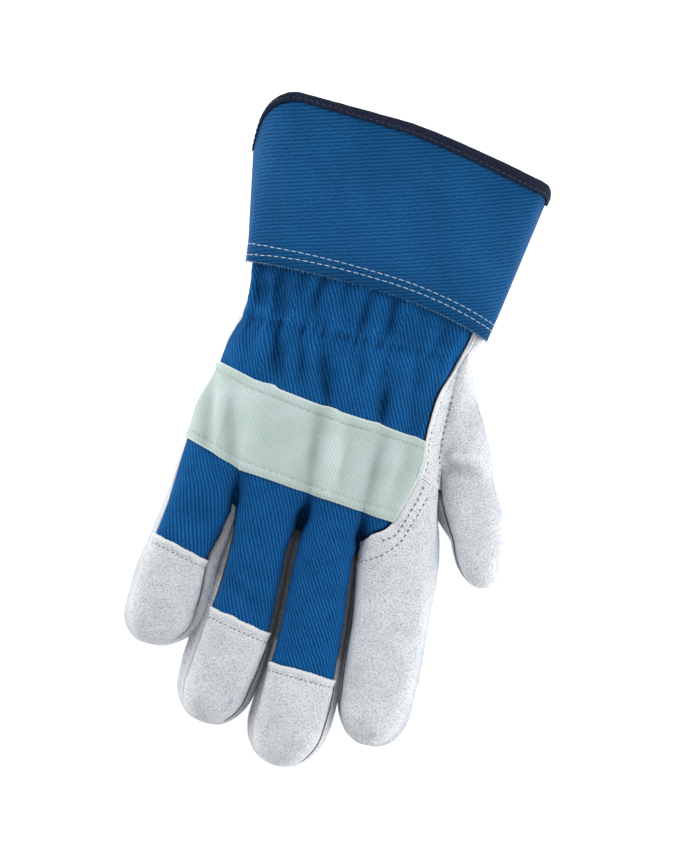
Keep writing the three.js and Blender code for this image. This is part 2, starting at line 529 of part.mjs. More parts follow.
function makeCuff() {
  const faces = patch(TURNS, CUFF_ROWS, (turn, share) => {
    const n = acrossCuff(turn);
    return cuffPoint(turn, mix(lowEdge(n), highEdge(n), share));
  }, true);
  const skin = weld(faces);
  return wall(faces, skin, directions(skin), 0, -CUFF_WALL);
}

// The tape's section at one turn, folded over the rim at right angles to it.
function tapeSection(turn) {
  const rimAt = (t) => highEdge(acrossCuff(t));
  const step = 0.02;
  const at = (t, y) => new THREE.Vector3(...cuffPoint(t, y));
  const rim = rimAt(turn);
  const round = at(turn + step, rim).sub(at(turn - step, rim)).divideScalar(2 * step);
  const along = at(turn, rim + step).sub(at(turn, rim - step)).divideScalar(2 * step);
  const edge = at(turn + step, rimAt(turn + step)).sub(at(turn - step, rimAt(turn - step)));
  const away = edge.cross(cuffNormal(turn, rim)).normalize();
  if (away.y < 0) away.negate();
  const [near, far] = [TAPE_LIFT, TAPE_LIFT + TAPE];
  const place = (out, beyond) => {
    const t = turn + (beyond * away.dot(round)) / round.lengthSq();
    const y = rim + (beyond * away.dot(along)) / along.lengthSq();
    return at(t, y).addScaledVector(cuffNormal(t, y), out);
  };
  return [
    [far, -TAPE_WIDTH], [far, far], [-CUFF_WALL - far, far], [-CUFF_WALL - far, -TAPE_WIDTH],
    [-CUFF_WALL - near, -TAPE_WIDTH], [-CUFF_WALL - near, near], [near, near], [near, -TAPE_WIDTH],
  ].map(([out, beyond]) => place(out, beyond));
}

function makeTape() {
  const sections = TURNS.slice(0, -1).map(tapeSection);
  const size = sections[0].length;
  const triangles = [];
  sections.forEach((_, i) => {
    const next = (i + 1) % sections.length;
    for (let k = 0; k < size; k++) {
      const [a, b] = [i * size + k, i * size + ((k + 1) % size)];
      const [c, d] = [next * size + ((k + 1) % size), next * size + k];
      triangles.push(a, b, c, a, c, d);
    }
  });
  return geometryOf(sections.flat(), triangles);
}

function material(colour, roughness) {
  return new THREE.MeshStandardMaterial({ color: colour, roughness, metalness: 0 });
}
const FINISH = {
  cloth: material(COLOURS.cloth, 0.9),
  leather: material(COLOURS.leather, 0.95),
  strap: material(COLOURS.strap, 0.6),
  cuff: material(COLOURS.cuff, 0.8),
  tape: material(COLOURS.tape, 0.85),
};

const glove = new THREE.Group();
function add(name, geometry, finish) {
  const mesh = new THREE.Mesh(geometry, finish);
  mesh.name = name;
  glove.add(mesh);
}

const skin = weld(Object.values(PANELS).flat());
const skinDirections = directions(skin);
for (const [name, faces] of Object.entries(PANELS)) {
  const cloth = name === 'back_cloth';
  add(name, wall(faces, skin, skinDirections, 0, cloth ? -CLOTH : -LEATHER), cloth ? FINISH.cloth : FINISH.leather);
}
const underStrap = [
  ...fingerTongues.flatMap((t) => back(t, STRAP_FROM, STRAP_TO)),
  ...back(index, STRAP_FROM, STRAP_TO, 0, CLOTH_COLUMNS),
];
add('knuckle_strap', wall(underStrap, skin, skinDirections, STRAP_LIFT + STRAP, STRAP_LIFT), FINISH.strap);
add('cuff', makeCuff(), FINISH.cuff);
add('cuff_binding', makeTape(), FINISH.tape);

export default glove;
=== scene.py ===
import functools
import math
import random

import bmesh
import bpy
from mathutils import Matrix, Vector, bvhtree, kdtree, noise


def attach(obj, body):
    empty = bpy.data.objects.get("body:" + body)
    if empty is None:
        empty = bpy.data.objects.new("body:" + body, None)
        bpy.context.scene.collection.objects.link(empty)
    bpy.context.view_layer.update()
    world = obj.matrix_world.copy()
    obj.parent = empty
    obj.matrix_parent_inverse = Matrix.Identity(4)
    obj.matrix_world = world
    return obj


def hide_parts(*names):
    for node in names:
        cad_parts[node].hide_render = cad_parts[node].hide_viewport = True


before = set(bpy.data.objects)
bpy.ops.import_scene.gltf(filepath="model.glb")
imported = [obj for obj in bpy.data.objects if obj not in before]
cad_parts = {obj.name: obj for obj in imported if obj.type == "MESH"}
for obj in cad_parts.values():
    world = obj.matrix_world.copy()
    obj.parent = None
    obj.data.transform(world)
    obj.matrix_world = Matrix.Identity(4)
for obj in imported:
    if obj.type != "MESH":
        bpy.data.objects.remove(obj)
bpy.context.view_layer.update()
scene = bpy.context.scene


# Camera, table top and lights.
# The glove is seen from straight above, turned by 16 degrees, on a white sheet that glows a little, between
# two large soft lamps that stand low at its sides.
scene.view_settings.view_transform = "Standard"
scene.view_settings.look = "None"
turn_of_photo = math.radians(16)
photo_middle = Vector((0.01115, 0.00363, 0.018))
pixel = 0.0004186  # one pixel of the photo on the glove, in metres
camera_height = 5.0  # far off, so that the view is nearly flat
film = 36
lens = bpy.data.cameras.new("camera")
lens.sensor_width = film
lens.lens = film * camera_height / (862 * pixel)
lens.clip_end = 50
camera = bpy.data.objects.new("camera", lens)
camera.location = photo_middle + Vector((0, 0, camera_height))
camera.rotation_euler = (0, 0, turn_of_photo)
scene.collection.objects.link(camera)
scene.camera = camera


def colour(hex_code):
    """An sRGB hex value as linear light."""
    parts = [int(hex_code[i : i + 2], 16) / 255 for i in (1, 3, 5)]
    return tuple(p / 12.92 if p <= 0.04045 else ((p + 0.055) / 1.055) ** 2.4 for p in parts) + (1.0,)


def add_node(tree, kind, settings=None, links=None):
    """Adds a node, sets its values by name or socket number, and links what feeds it. The stops of a ramp are
    pairs of a place and a hex colour."""
    made = tree.nodes.new(kind)
    for name, value in (settings or {}).items():
        if name == "stops":
            ramp = made.color_ramp.elements
            while len(ramp) < len(value):
                ramp.new(0.5)
            for stop, (at, hex_code) in zip(ramp, value):
                stop.position, stop.color = at, colour(hex_code)
        elif isinstance(name, str) and hasattr(made, name):
            setattr(made, name, value)
        else:
            made.inputs[name].default_value = value
    for socket, source in (links or {}).items():
        tree.links.new(source.outputs[0] if isinstance(source, bpy.types.Node) else source, made.inputs[socket])
    return made


def new_finish(name, sockets=None):
    """A material and its shader. Sockets holds what is the same all over; the rest is set by the piece."""
    finish = bpy.data.materials.new(name)
    finish.use_nodes = True
    shader = finish.node_tree.nodes["Principled BSDF"]
    for socket, value in (sockets or {}).items():
        shader.inputs[socket].default_value = value
    return finish, finish.node_tree, shader


# Matt white paper, lit from below as on a light table.
white_sheet, tree, shader = new_finish("matt_white_paper", {
    "Base Color": colour("#fbfbfb"), "Roughness": 0.9, "Specular IOR Level": 0.1,
    "Emission Color": colour("#ffffff"), "Emission Strength": 0.6,
})
table = bmesh.new()
bmesh.ops.create_grid(table, x_segments=1, y_segments=1, size=3)  # 6 m wide
table_mesh = bpy.data.meshes.new("table_top")
table.to_mesh(table_mesh)
table.free()
table_top = bpy.data.objects.new("table_top", table_mesh)
table_top.location.z = -0.0005
table_mesh.materials.append(white_sheet)
scene.collection.objects.link(table_top)

for lamp_name, place, size, power in (
    ("left_softbox", (-1.3, 0.4, 0.75), 0.8, 17),
    ("right_softbox", (1.3, 0.05, 0.75), 0.9, 17),
):
    lamp = bpy.data.lights.new(lamp_name, "AREA")
    lamp.energy = power
    lamp.size = size
    lamp_object = bpy.data.objects.new(lamp_name, lamp)
    lamp_object.location = place
    lamp_object.rotation_euler = (-Vector(place)).to_track_quat("-Z", "Y").to_euler()
    scene.collection.objects.link(lamp_object)
sky = bpy.data.worlds.new("studio")
sky.use_nodes = True
sky.node_tree.nodes["Background"].inputs["Color"].default_value = colour("#ffffff")
sky.node_tree.nodes["Background"].inputs["Strength"].default_value = 0.44
scene.world = sky


# Palm, finger fronts and the outer side of the little finger.
# One hide of split cowhide, light grey, napped on both sides: short loose fibres scatter the light, so it
# looks chalky and finely speckled, with faint blue marks from dye and handling. Light is painted on it along
# its cut edges, and shade in its creases and on its lower sides.
split_leather, tree, shader = new_finish("split_cowhide_light_grey", {
    "Roughness": 0.95, "Specular IOR Level": 0.1, "Sheen Weight": 0.07, "Sheen Roughness": 0.4,
})
place_on_hide = add_node(tree, "ShaderNodeTexCoord").outputs["Object"]
# The nap is drawn 0.33 mm apart, coarser than its fibres are, so that it shows; the grain is 0.6 mm.
nap = add_node(tree, "ShaderNodeTexNoise", {"Scale": 3000, "Detail": 3, "Roughness": 0.7},
               {"Vector": place_on_hide})
grain = add_node(tree, "ShaderNodeTexNoise", {"Scale": 1650, "Detail": 2, "Roughness": 0.6},
                 {"Vector": place_on_hide})
speckle = add_node(tree, "ShaderNodeMath", {"operation": "MULTIPLY_ADD", 1: 0.8}, {0: nap, 2: grain})
speckled = add_node(tree, "ShaderNodeValToRGB", {"stops": [(0.72, "#a6abb0"), (0.96, "#e3e6e9")]},
                    {"Fac": speckle})
# Paler and darker patches of the hide are some 14 mm wide, and the blue marks 9 mm.
hide = add_node(tree, "ShaderNodeTexNoise", {"Scale": 70, "Detail": 4, "Roughness": 0.6},
                {"Vector": place_on_hide})
patches = add_node(tree, "ShaderNodeValToRGB", {"stops": [(0.32, "#edeff2"), (0.62, "#ffffff")]}, {"Fac": hide})
handling = add_node(tree, "ShaderNodeTexNoise", {"Scale": 110, "Detail": 5, "Roughness": 0.7},
                    {"Vector": place_on_hide})
marks = add_node(tree, "ShaderNodeValToRGB", {"stops": [(0.6, "#ffffff"), (0.78, "#c9d3e4")]},
                 {"Fac": handling})
mottled = add_node(tree, "ShaderNodeMix", {"data_type": "RGBA", "blend_type": "MULTIPLY", 0: 1.0},
                   {6: speckled, 7: patches})
marked = add_node(tree, "ShaderNodeMix", {"data_type": "RGBA", "blend_type": "MULTIPLY", 0: 1.0},
                  {6: mottled.outputs[2], 7: marks})


def paint_light_and_shade(tree, base, folds, shades, rim, share, rim_colour):
    """Paints shade into a finish in its folds and light on its ridges, by the depth written on each vertex, and
    tints it along its cut edges with the colour given. Folds and rim are ranges in millimetres, as sew writes
    them on each vertex."""
    fold = add_node(tree, "ShaderNodeAttribute", {"attribute_name": "in_fold"})
    shade = add_node(tree, "ShaderNodeMapRange", {
        "From Min": folds[0], "From Max": folds[1], "To Min": shades[0], "To Max": shades[1],
    }, {"Value": fold.outputs["Fac"]})
    folded = add_node(tree, "ShaderNodeHueSaturation", {}, {"Value": shade, "Color": base.outputs[2]})
    from_rim = add_node(tree, "ShaderNodeAttribute", {"attribute_name": "from_rim"})
    at_rim = add_node(tree, "ShaderNodeMapRange", {
        "From Min": rim[0], "From Max": rim[1], "To Min": share, "To Max": 0.0,
    }, {"Value": from_rim.outputs["Fac"]})
    return add_node(tree, "ShaderNodeMix", {"data_type": "RGBA", 7: colour(rim_colour)}, {0: at_rim, 6: folded})


def put_on(tree, shader, seen, felt, strength, deep):
    """Ends a finish: what is seen is its colour, and what is felt is its relief, so many metres deep."""
    relief = add_node(tree, "ShaderNodeBump", {"Strength": strength, "Distance": deep}, {"Height": felt})
    tree.links.new(seen, shader.inputs["Base Color"])
    tree.links.new(relief.outputs[0], shader.inputs["Normal"])


# Painted shade in the creases and on the lower sides of the hide, and painted light along its cut edges.
hide_with_painted_light = paint_light_and_shade(tree, marked, (-8, 8), (1.6, 0.4), (0.4, 2.2), 0.85, "#e6e8e9")
put_on(tree, shader, hide_with_painted_light.outputs[2], speckle, 0.55, 0.00035)

# The palm is cut to the form of the whole hand, so that form comes here. Each row is one section across the
# hand, in millimetres, from inside the cuff to the crotches of the fingers: first the places in plan where
# the fingers' lines cross it, then heights. Part tells how far the fingers already stand apart.
hand_columns = (
    "outer", "little_ring", "ring_middle", "middle_index", "seam", "fold", "thumb",
    "left", "crown", "right", "outer_thumb", "foot", "low", "thumb_low", "fold_low", "part",
)
hand_rows = [
    ((-46.6, 72), (-24, 74), (0, 74.5), (22, 74), (46, 71), (50, 70), (51.6, 69.5),
     18, 35.6, 22, 17, 4.4, 12, 14, 10.4, 0),
    ((-47.5, 60.5), (-24.5, 62.5), (-1, 62.5), (21.5, 61.5), (49, 57.5), (51.4, 56.8), (52.6, 56),
     18, 34.4, 22, 17, 4.4, 12, 14, 11.4, 0),
    ((-45, 45), (-25.5, 43.5), (-3, 42.5), (18.5, 41.5), (45.8, 41.5), (49, 43.5), (50.4, 44.5),
     14, 32.4, 20.5, 13, 0, 5.5, 9, 5, 0),
    ((-48.2, 29), (-29, 28), (-4, 27), (19.5, 26), (42.2, 26.5), (49.4, 29), (60.5, 29),
     12, 36, 19, 9, 0, 2.5, 2.5, 0, 0),
    ((-49.2, 16.7), (-33, 13.4), (-3, 10.6), (21.5, 9.8), (42.4, 8), (50.6, 8.5), (71, 11),
     12, 37.2, 18, 9, 0, 2.5, 2.5, 1, 0),
    ((-53.2, -1.5), (-31, -6), (0.5, -8.5), (23.5, -9), (43.7, -5), (54, -9.8), (75.4, 0),
     12, 36.6, 17.5, 9, 0, 2.5, 2.5, 4, 0.04),
    ((-53.8, -17.6), (-29, -24.2), (2.6, -26), (25.5, -27.2), (38.6, -28), (56.4, -22), None,
     13, 34.6, 17.5, None, 0, 3, None, 4, 0.12),
    ((-54, -36), (-26.8, -39.2), (2.2, -36), (28, -39.4), (32.6, -34.9), (59.2, -32.5), None,
     16, 32, 17.5, None, 0, 4, None, 4, 1),
]
# The free length of each finger: left edge, right edge, height of its seams, height of its crown, how far
# its sides stand out, and for the index finger the line that carries on the hand's seam.
finger_rows = {
    "little": [
        ((-54.4, -49), (-28.9, -51.5), 18, 27, 1.3, 1.6), ((-55.6, -60.3), (-31.6, -65), 17.5, 26, 1.5, 3.4),
        ((-57.4, -74), (-30.6, -77.5), 17.5, 26.5, 1.5, 3),
        ((-57.6, -89.5), (-30.4, -89), 16.5, 25.5, 1.5, 2.2),
    ],
    "ring": [
        ((-24, -52), (-0.4, -50.5), 19, 29.5, 1.2, 1.2), ((-23.4, -67), (0.6, -67), 18.5, 28, 1.6, 1.4),
        ((-24, -83), (2, -87.3), 18, 27.5, 2.2, 1.2), ((-25.2, -99), (1.6, -101), 18, 28, 3.2, 1.6),
        ((-26.2, -113.5), (-0.2, -114.5), 16.5, 26.5, 2.4, 2.2),
    ],
    "middle": [
        ((3, -50), (27.8, -52), 19.5, 30.5, 1.2, 0.5), ((4.4, -66), (30, -67.5), 19, 29.5, 1.3, 0.7),
        ((5.6, -83), (32.2, -84.5), 18.5, 28.5, 1.4, 0.9), ((5.8, -98.5), (33.6, -98.6), 18.5, 28, 1.4, 1.6),
        ((5.8, -110.5), (34.6, -110), 18, 28.5, 1.6, 2), ((5.6, -122), (34.6, -121), 16.5, 27, 1.8, 1.9),
    ],
    "index": [
        ((29.4, -50), (61.4, -46), 19, 30.5, 0.5, 1.6, (43.6, -44)),
        ((32, -61.5), (62.8, -59.5), 18.5, 29.5, 0.7, 1.2, (46.4, -59.5)),
        ((34.4, -75), (64.4, -73.5), 18.5, 28.5, 0.9, 1.4, (48.8, -74)),
        ((36, -89), (65.6, -87.5), 18, 28, 0.7, 1.6, (50.4, -88.4)),
        ((38.2, -103.5), (66, -101.5), 16.5, 26.5, 0.7, 1.8, (51.8, -103)),
    ],
    "thumb": [
        ((59.6, -19), (81.4, -11.6), 14, 25.5, 3.2, 1), ((66.2, -29), (86, -24.6), 13, 23, 2.8, 1),
    ],
}
finger_columns = ("left", "right", "seam", "crown", "bulge_left", "bulge_right", "middle")
finger_tips = {"little": (-45.2, -105), "ring": (-14.6, -130.4), "middle": (19.8, -139.4),
               "index": (53.6, -120.7), "thumb": (82.2, -44.4)}
tongues = ("little", "ring", "middle", "index")  # the fingers as they are cut, without the thumb
neighbours = tuple(zip(tongues, tongues[1:]))
first_crown = {"little": 30, "ring": 32, "middle": 32.5, "index": 31.5, "thumb": 26}
borders = {
    "little": ("outer", "little_ring"), "ring": ("little_ring", "ring_middle"),
    "middle": ("ring_middle", "middle_index"), "index": ("middle_index", "fold"), "thumb": ("fold", "thumb"),
}
finger_crotch, thumb_crotch = 7, 5
web_height, web_half = 19.5, 0.9  # the strip of hide at a crotch
sole_edge, front_top, front_low = 4, 11.5, 7  # heights of the seams under a finger and round its tip
cloth_share = 6 / 9  # of the index finger's width, up to the seam of the back cloth


def mix(a, b, t):
    """What lies between two numbers or two points."""
    return tuple(p + (q - p) * t for p, q in zip(a, b)) if isinstance(a, tuple) else a + (b - a) * t


def clamp01(t):
    return min(1.0, max(0.0, t))


def ease(t):
    return clamp01(t) ** 2 * (3 - 2 * clamp01(t))


def ridge(at, middle, wide):
    """1 along a line and falling away softly on both sides of it."""
    return math.exp(-(((at - middle) / wide) ** 2))


def through(values, t):
    """A smooth curve through equally spaced numbers or points."""
    last = len(values) - 1
    i = min(last - 1, max(0, math.floor(t)))
    f = t - i
    q, r = values[i], values[i + 1]
    p = values[i - 1] if i > 0 else mix(q, r, -1)
    s = values[i + 2] if i + 2 <= last else mix(r, q, -1)

    def blend(p, q, r, s):
        return 0.5 * (2 * q + (r - p) * f + (2 * p - 5 * q + 4 * r - s) * f * f
                      + (3 * q - p - 3 * r + s) * f**3)

    return tuple(blend(*k) for k in zip(p, q, r, s)) if isinstance(q, tuple) else blend(p, q, r, s)


@functools.lru_cache(None)
def hand_row(name, v):
    """A column of the hand's table at row v."""
    at = hand_columns.index(name)
    return through([row[at] for row in hand_rows if row[at] is not None], v)


def crotch_of(tongue):
    return thumb_crotch if tongue == "thumb" else finger_crotch


def end_of(tongue):
    return crotch_of(tongue) + len(finger_rows[tongue]) + 1


def border(name, v, half):
    """The line between two fingers, which parts into two over half a row at the crotch."""
    x, y = hand_row(name, v)
    if name in ("outer", "thumb"):
        return (x, y)
    crotch = thumb_crotch if name == "fold" else finger_crotch
    return (x + half * clamp01((v - crotch) * 2 + 1), y)


def edge_height(tongue, v, hand):
    """Height of a finger's upper seam: hand is -1 for its left side and 1 for its right."""
    name = borders[tongue][hand > 0]
    if name == "thumb":
        return hand_row("outer_thumb", v)
    return {"outer": hand_row("left", v), "fold": hand_row("right", v)}.get(name, web_height)


def edge_low(tongue, v, hand):
    """Height of its lower seam."""
    name = borders[tongue][hand > 0]
    if name in ("fold", "outer", "thumb"):
        return hand_row({"fold": "fold_low", "outer": "low", "thumb": "thumb_low"}[name], v)
    return mix(hand_row("foot", v), sole_edge, clamp01(hand_row("part", v) * 2 - 1))


@functools.lru_cache(None)
def section(tongue, v):
    """One section of a finger: v counts the hand's rows, then the finger's, then goes round the tip."""
    crotch = crotch_of(tongue)
    if v <= crotch:
        return dict(
            left=border(borders[tongue][0], v, web_half), right=border(borders[tongue][1], v, -web_half),
            middle=hand_row("seam", v) if tongue == "index" else None,
            bulge_left=0.6 if tongue == "little" else 0,
            bulge_right={"index": 1.6 * ease((v - thumb_crotch) / 2), "thumb": 1}.get(tongue, 0),
            seam_left=edge_height(tongue, v, -1), seam_right=edge_height(tongue, v, 1),
            crown=first_crown[tongue],
            low_left=edge_low(tongue, v, -1), low_right=edge_low(tongue, v, 1), body=True, keel=0, at_tip=False,
        )
    before, start = section(tongue, crotch - 1), section(tongue, crotch)
    rows = finger_rows[tongue]
    along = min(v - crotch, len(rows))

    def line(name, first, second):
        at = finger_columns.index(name)
        return through([first, second] + [row[at] for row in rows], along + 1)

    made = {name: line(name, before[name], start[name])
            for name in ("left", "right", "crown", "bulge_left", "bulge_right")}
    made["seam_left"] = line("seam", before["seam_left"], start["seam_left"])
    made["seam_right"] = line("seam", before["seam_right"], start["seam_right"])
    made["low_left"] = mix(start["low_left"], sole_edge, clamp01(along))
    made["low_right"] = mix(start["low_right"], sole_edge, clamp01(along))
    made["middle"] = line("middle", before["middle"], start["middle"]) if tongue == "index" else None
    made.update(body=False, keel=0, at_tip=False)
    round_tip = clamp01(v - crotch - len(rows))
    if round_tip == 0:
        return made
    angle = round_tip * math.pi / 2
    shrink, reach = max(0.0, math.cos(angle)) ** 0.92, math.sin(angle)
    centre = mix(made["left"], made["right"], 0.5)
    for name in ("left", "right", "middle"):
        if made[name]:
            made[name] = tuple(mix(c, t, reach) + (p - c) * shrink
                               for p, c, t in zip(made[name], centre, finger_tips[tongue]))
    seam = mix((made["seam_left"] + made["seam_right"]) / 2, front_top, reach**1.6)
    low = mix(sole_edge, front_low, reach**1.6)
    made.update(
        seam_left=seam, seam_right=seam, low_left=low, low_right=low,
        keel=front_low * (1 - max(0.0, math.cos(angle)) ** 0.5),
        crown=seam + (made["crown"] - seam) * max(0.0, math.cos(angle)) ** 0.8,
        bulge_left=made["bulge_left"] * shrink, bulge_right=made["bulge_right"] * shrink, at_tip=round_tip >= 1,
    )
    return made


def across_hand(x, v):
    """-1 at the outer side of the hand and 1 where the thumb leaves it."""
    start, end = hand_row("outer", v)[0], hand_row("fold", v)[0]
    return 2 * (x - start) / (end - start) - 1


def arch_height(n, v):
    edge = hand_row("left" if n < 0 else "right", v)
    squareness = mix(3.6, 2.7, ease(v / 2))
    return edge + (hand_row("crown", v) - edge) * math.sqrt(1 - min(1, abs(n)) ** squareness)


# Gathers of the back cloth: start and end in plan, half width and depth. The elastic that draws them in
# runs across the wrist between the two sets.
gathers = [
    ((-43.6, 66), (-39, 43), 2.8, 3.2), ((-35, 66), (-31, 40), 2.8, 3.2), ((-26.6, 66), (-23.4, 45), 2.6, 1.8),
    ((-18.6, 67), (-14, 39), 3, 3), ((-8.4, 66), (-5.4, 45), 2.8, 1.8), ((2.6, 66), (4.6, 43), 2.8, 2.4),
    ((14.2, 66), (15.4, 42), 3, 3), ((25.6, 64), (26.8, 43), 2.8, 1.8), ((36.6, 62), (36, 42), 3, 2.4),
    ((-41, 42), (-39, 21), 2.8, 1.8), ((-30.4, 41), (-24.4, 12), 3.2, 3), ((-18.4, 40), (-13.4, 18), 3, 2.2),
    ((-8.6, 38), (0.6, 9), 3.4, 3), ((6.6, 40), (10.6, 21), 3, 1.6), ((18.6, 36), (22.4, 6), 3.4, 2.6),
    ((30.4, 40), (30.8, 18), 3, 1.6), ((38.4, 36), (37.6, 7), 3, 2), ((-37, 10), (-41, -24), 3.6, 1.4),
    ((-12, 10), (-10.6, -22), 3.6, 1.2), ((10, 8), (12.6, -24), 3.4, 1.4),
]


def gather(x, y, folds):
    """Depth of a set of folds at a place in plan."""
    total = 0
    for start, end, wide, deep in folds:
        dx, dy = end[0] - start[0], end[1] - start[1]
        t = ((x - start[0]) * dx + (y - start[1]) * dy) / (dx * dx + dy * dy)
        if 0 < t < 1:
            off = math.hypot(x - mix(start[0], end[0], t), y - mix(start[1], end[1], t))
            total += deep * math.sin(math.pi * t) ** 0.7 * ridge(off, 0, wide)
    return total


def plan(cut, s):
    """The place in plan at a share across a section, from -1 to 1."""
    at = (s + 1) / 2
    if not cut["middle"]:
        return mix(cut["left"], cut["right"], at)
    if at < cloth_share:
        return mix(cut["left"], cut["middle"], at / cloth_share)
    return mix(cut["middle"], cut["right"], (at - cloth_share) / (1 - cloth_share))


def across_finger(cut, x, y):
    """The share across a section at a place in plan."""
    dx, dy = cut["right"][0] - cut["left"][0], cut["right"][1] - cut["left"][1]
    size = dx * dx + dy * dy
    return 2 * ((x - cut["left"][0]) * dx + (y - cut["left"][1]) * dy) / size - 1 if size > 1e-6 else 0


def soften_fold(x, y, v, height):
    """The hide bridges the hollow between the hand and the root of the thumb in a soft valley."""
    fold = hand_row("fold", v)
    near = 1 - ease(math.hypot(x - fold[0], y - fold[1]) / 9)
    valley = through([22, 24, 23.8, 23.2, 21.2, 18], v)
    return mix(height, valley, near * ease((v - 0.4) / 0.8) * (1 - ease((v - 4.1) / 0.9)))


def back_point(tongue, v, s):
    """A point on the back of the glove; sole_point is its like on the palm side, and side_point runs down
    from one to the other."""
    cut = section(tongue, v)
    x, y = plan(cut, s)
    low = mix(cut["seam_left"], cut["seam_right"], (s + 1) / 2)
    n = across_finger(cut, x, y) if cut["middle"] else s
    tube = low + (cut["crown"] - low) * max(0.0, 1 - abs(n) ** 2.4) ** 0.55
    if not cut["body"]:
        return Vector((x, y, tube))
    if tongue == "thumb":
        return Vector((x, y, soften_fold(x, y, v, mix(low, tube, ease((v - 1.8) / 3.2)))))
    flat = arch_height(across_hand(x, v), v)
    if tongue == "index":
        flat = soften_fold(x, y, v, flat)
    return Vector((x, y, mix(flat, tube, hand_row("part", v)) - gather(x, y, gathers)))


def sole_point(tongue, v, s):
    cut = section(tongue, v)
    x, y = plan(cut, s)
    start = mix(-0.6, 0.35, ease(v / 3)) if cut["body"] else 0.35
    rise = clamp01((abs(s) - start) / (1 - start)) ** 2
    narrow = 1 - ease((v - 1.5) / 1.5) if tongue == "thumb" else 0
    foot = cut["keel"]
    if cut["body"]:
        foot = mix(hand_row("foot", v), (cut["low_left"] + cut["low_right"]) / 2, narrow)
    return Vector((x, y, mix(foot, cut["low_left"] if s < 0 else cut["low_right"], rise)))


def side_point(tongue, v, hand, r):
    top, low = back_point(tongue, v, hand), sole_point(tongue, v, hand)
    cut, name = section(tongue, v), "left" if hand < 0 else "right"
    a, b = section(tongue, max(0, v - 0.02))[name], section(tongue, min(end_of(tongue), v + 0.02))[name]
    along = Vector((b[0] - a[0], b[1] - a[1]))
    away = Vector((0, -1)) if cut["at_tip"] else Vector((-along.y, along.x)) * hand / (along.length or 1)
    bulge = cut["bulge_left" if hand < 0 else "bulge_right"] * math.sin(math.pi * r)
    return Vector((top.x + away.x * bulge, top.y + away.y * bulge, mix(top.z, low.z, r)))


def steps(start, end, per_unit):
    """Even steps from start to end, about so many to a unit."""
    count = max(1, round((end - start) * per_unit))
    return [start + (end - start) * i / count for i in range(count + 1)]


def lay(bm, rows, columns, place, flip=False, lean=0.0):
    """Lays a grid over the glove's form. It keeps, for each vertex, where it lies on its panel, and maps the
    panel in millimetres for its weave, which leans by this share along a finger."""
    nx, ny = len(columns) - 1, len(rows) - 1
    for layer in ("from_rim", "in_fold"):
        if layer not in bm.verts.layers.float:
            bm.verts.layers.float.new(layer)
    made = bmesh.ops.create_grid(bm, x_segments=nx, y_segments=ny, size=0.5)["verts"]
    cut_map = bm.loops.layers.uv.verify()
    points = [[place(v, s) for s in columns] for v in rows]
    arcs = []
    for row in points:
        arc = [0.0]
        for p, q in zip(row, row[1:]):
            arc.append(arc[-1] + (q - p).length)
        arcs.append(arc)
    where = {}
    for vert in made:
        i = round((vert.co.x + 0.5) * nx)
        j = ny - round((vert.co.y + 0.5) * ny)
        vert.co = points[j][i]
        middle = nx // 2
        where[vert] = dict(u=points[j][middle].x + arcs[j][i] - arcs[j][middle], y=points[j][i].y,
                           left=arcs[j][i], right=arcs[j][-1] - arcs[j][i], v=rows[j], s=columns[i])
    faces = {face for vert in made for face in vert.link_faces}
    for face in faces:
        for loop in face.loops:
            spot = where[loop.vert]
            loop[cut_map].uv = (spot["u"] - lean * max(0, -36 - spot["y"]), spot["y"])
    if flip:
        bmesh.ops.reverse_faces(bm, faces=list(faces))
    return where


def sew(name, bm, where, relief, thickness, finish, node_names, joined=lambda spot: False):
    """Joins the parts of a panel, presses its seams and creases in and puts it on the glove. Where an edge is
    joined, the panel runs on into its neighbour without a step."""
    welds = bmesh.ops.find_doubles(bm, verts=bm.verts, dist=0.02)["targetmap"]  # verts laid at one place
    bmesh.ops.weld_verts(bm, targetmap=welds)
    where = {vert: spot for vert, spot in where.items() if vert.is_valid}
    bm.normal_update()
    rim = []
    for edge in bm.edges:
        if edge.is_boundary and all(joined(where[vert]) for vert in edge.verts):
            edge.smooth = False  # or the wall under the edge would bend its shading
        elif edge.is_boundary:
            rim.append(edge)
    border_points = kdtree.KDTree(max(1, 3 * len(rim)))
    for count, edge in enumerate(rim):
        p, q = (vert.co for vert in edge.verts)
        for part, point in enumerate((p, (p * 2 + q) / 3, (p + q * 2) / 3)):
            border_points.insert(point, 3 * count + part)
    border_points.balance()
    from_rim, in_fold = bm.verts.layers.float["from_rim"], bm.verts.layers.float["in_fold"]
    shifts = {}
    for vert, spot in where.items():
        spot["rim"] = border_points.find(vert.co)[2] if rim else 99
        vert[from_rim] = min(spot["rim"], 20)
        shifts[vert] = vert.normal * relief(vert.co, spot)
        # The depth written here paints shade and light into the finish.
        vert[in_fold] = spot.get("fold", 0)
    for vert, shift in shifts.items():
        vert.co += shift
        vert.co.z = max(vert.co.z, -0.1)  # the underside lies flat on the table
    surface = bvhtree.BVHTree.FromBMesh(bm)
    finish_piece(name, bm, finish, node_names, thickness)
    return surface


def finish_piece(name, bm, finish, node_names, thickness=0):
    """Turns a mesh drawn in millimetres into a piece of the glove."""
    bmesh.ops.scale(bm, vec=(0.001, 0.001, 0.001), verts=bm.verts)
    for face in bm.faces:
        face.smooth = True
    mesh = bpy.data.meshes.new(name)
    bm.to_mesh(mesh)
    bm.free()
    piece = bpy.data.objects.new(name, mesh)
    scene.collection.objects.link(piece)
    mesh.materials.append(finish)
    if thickness:
        wall = piece.modifiers.new("thickness", "SOLIDIFY")
        wall.thickness = thickness * 0.001
        wall.offset = -1
    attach(piece, "root")
    if node_names:
        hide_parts(*node_names)


def ripple(point, size, seed=0.0):
    """Unevenness from -1 to 1 over a length in millimetres."""
    return noise.noise(Vector(point) / size + Vector((seed, seed * 1.7, -seed)))


def pillow(spot, high, wide):
    """How far a panel stands up between its seams."""
    return high * (1 - math.exp(-((spot["rim"] / wide) ** 1.2)))


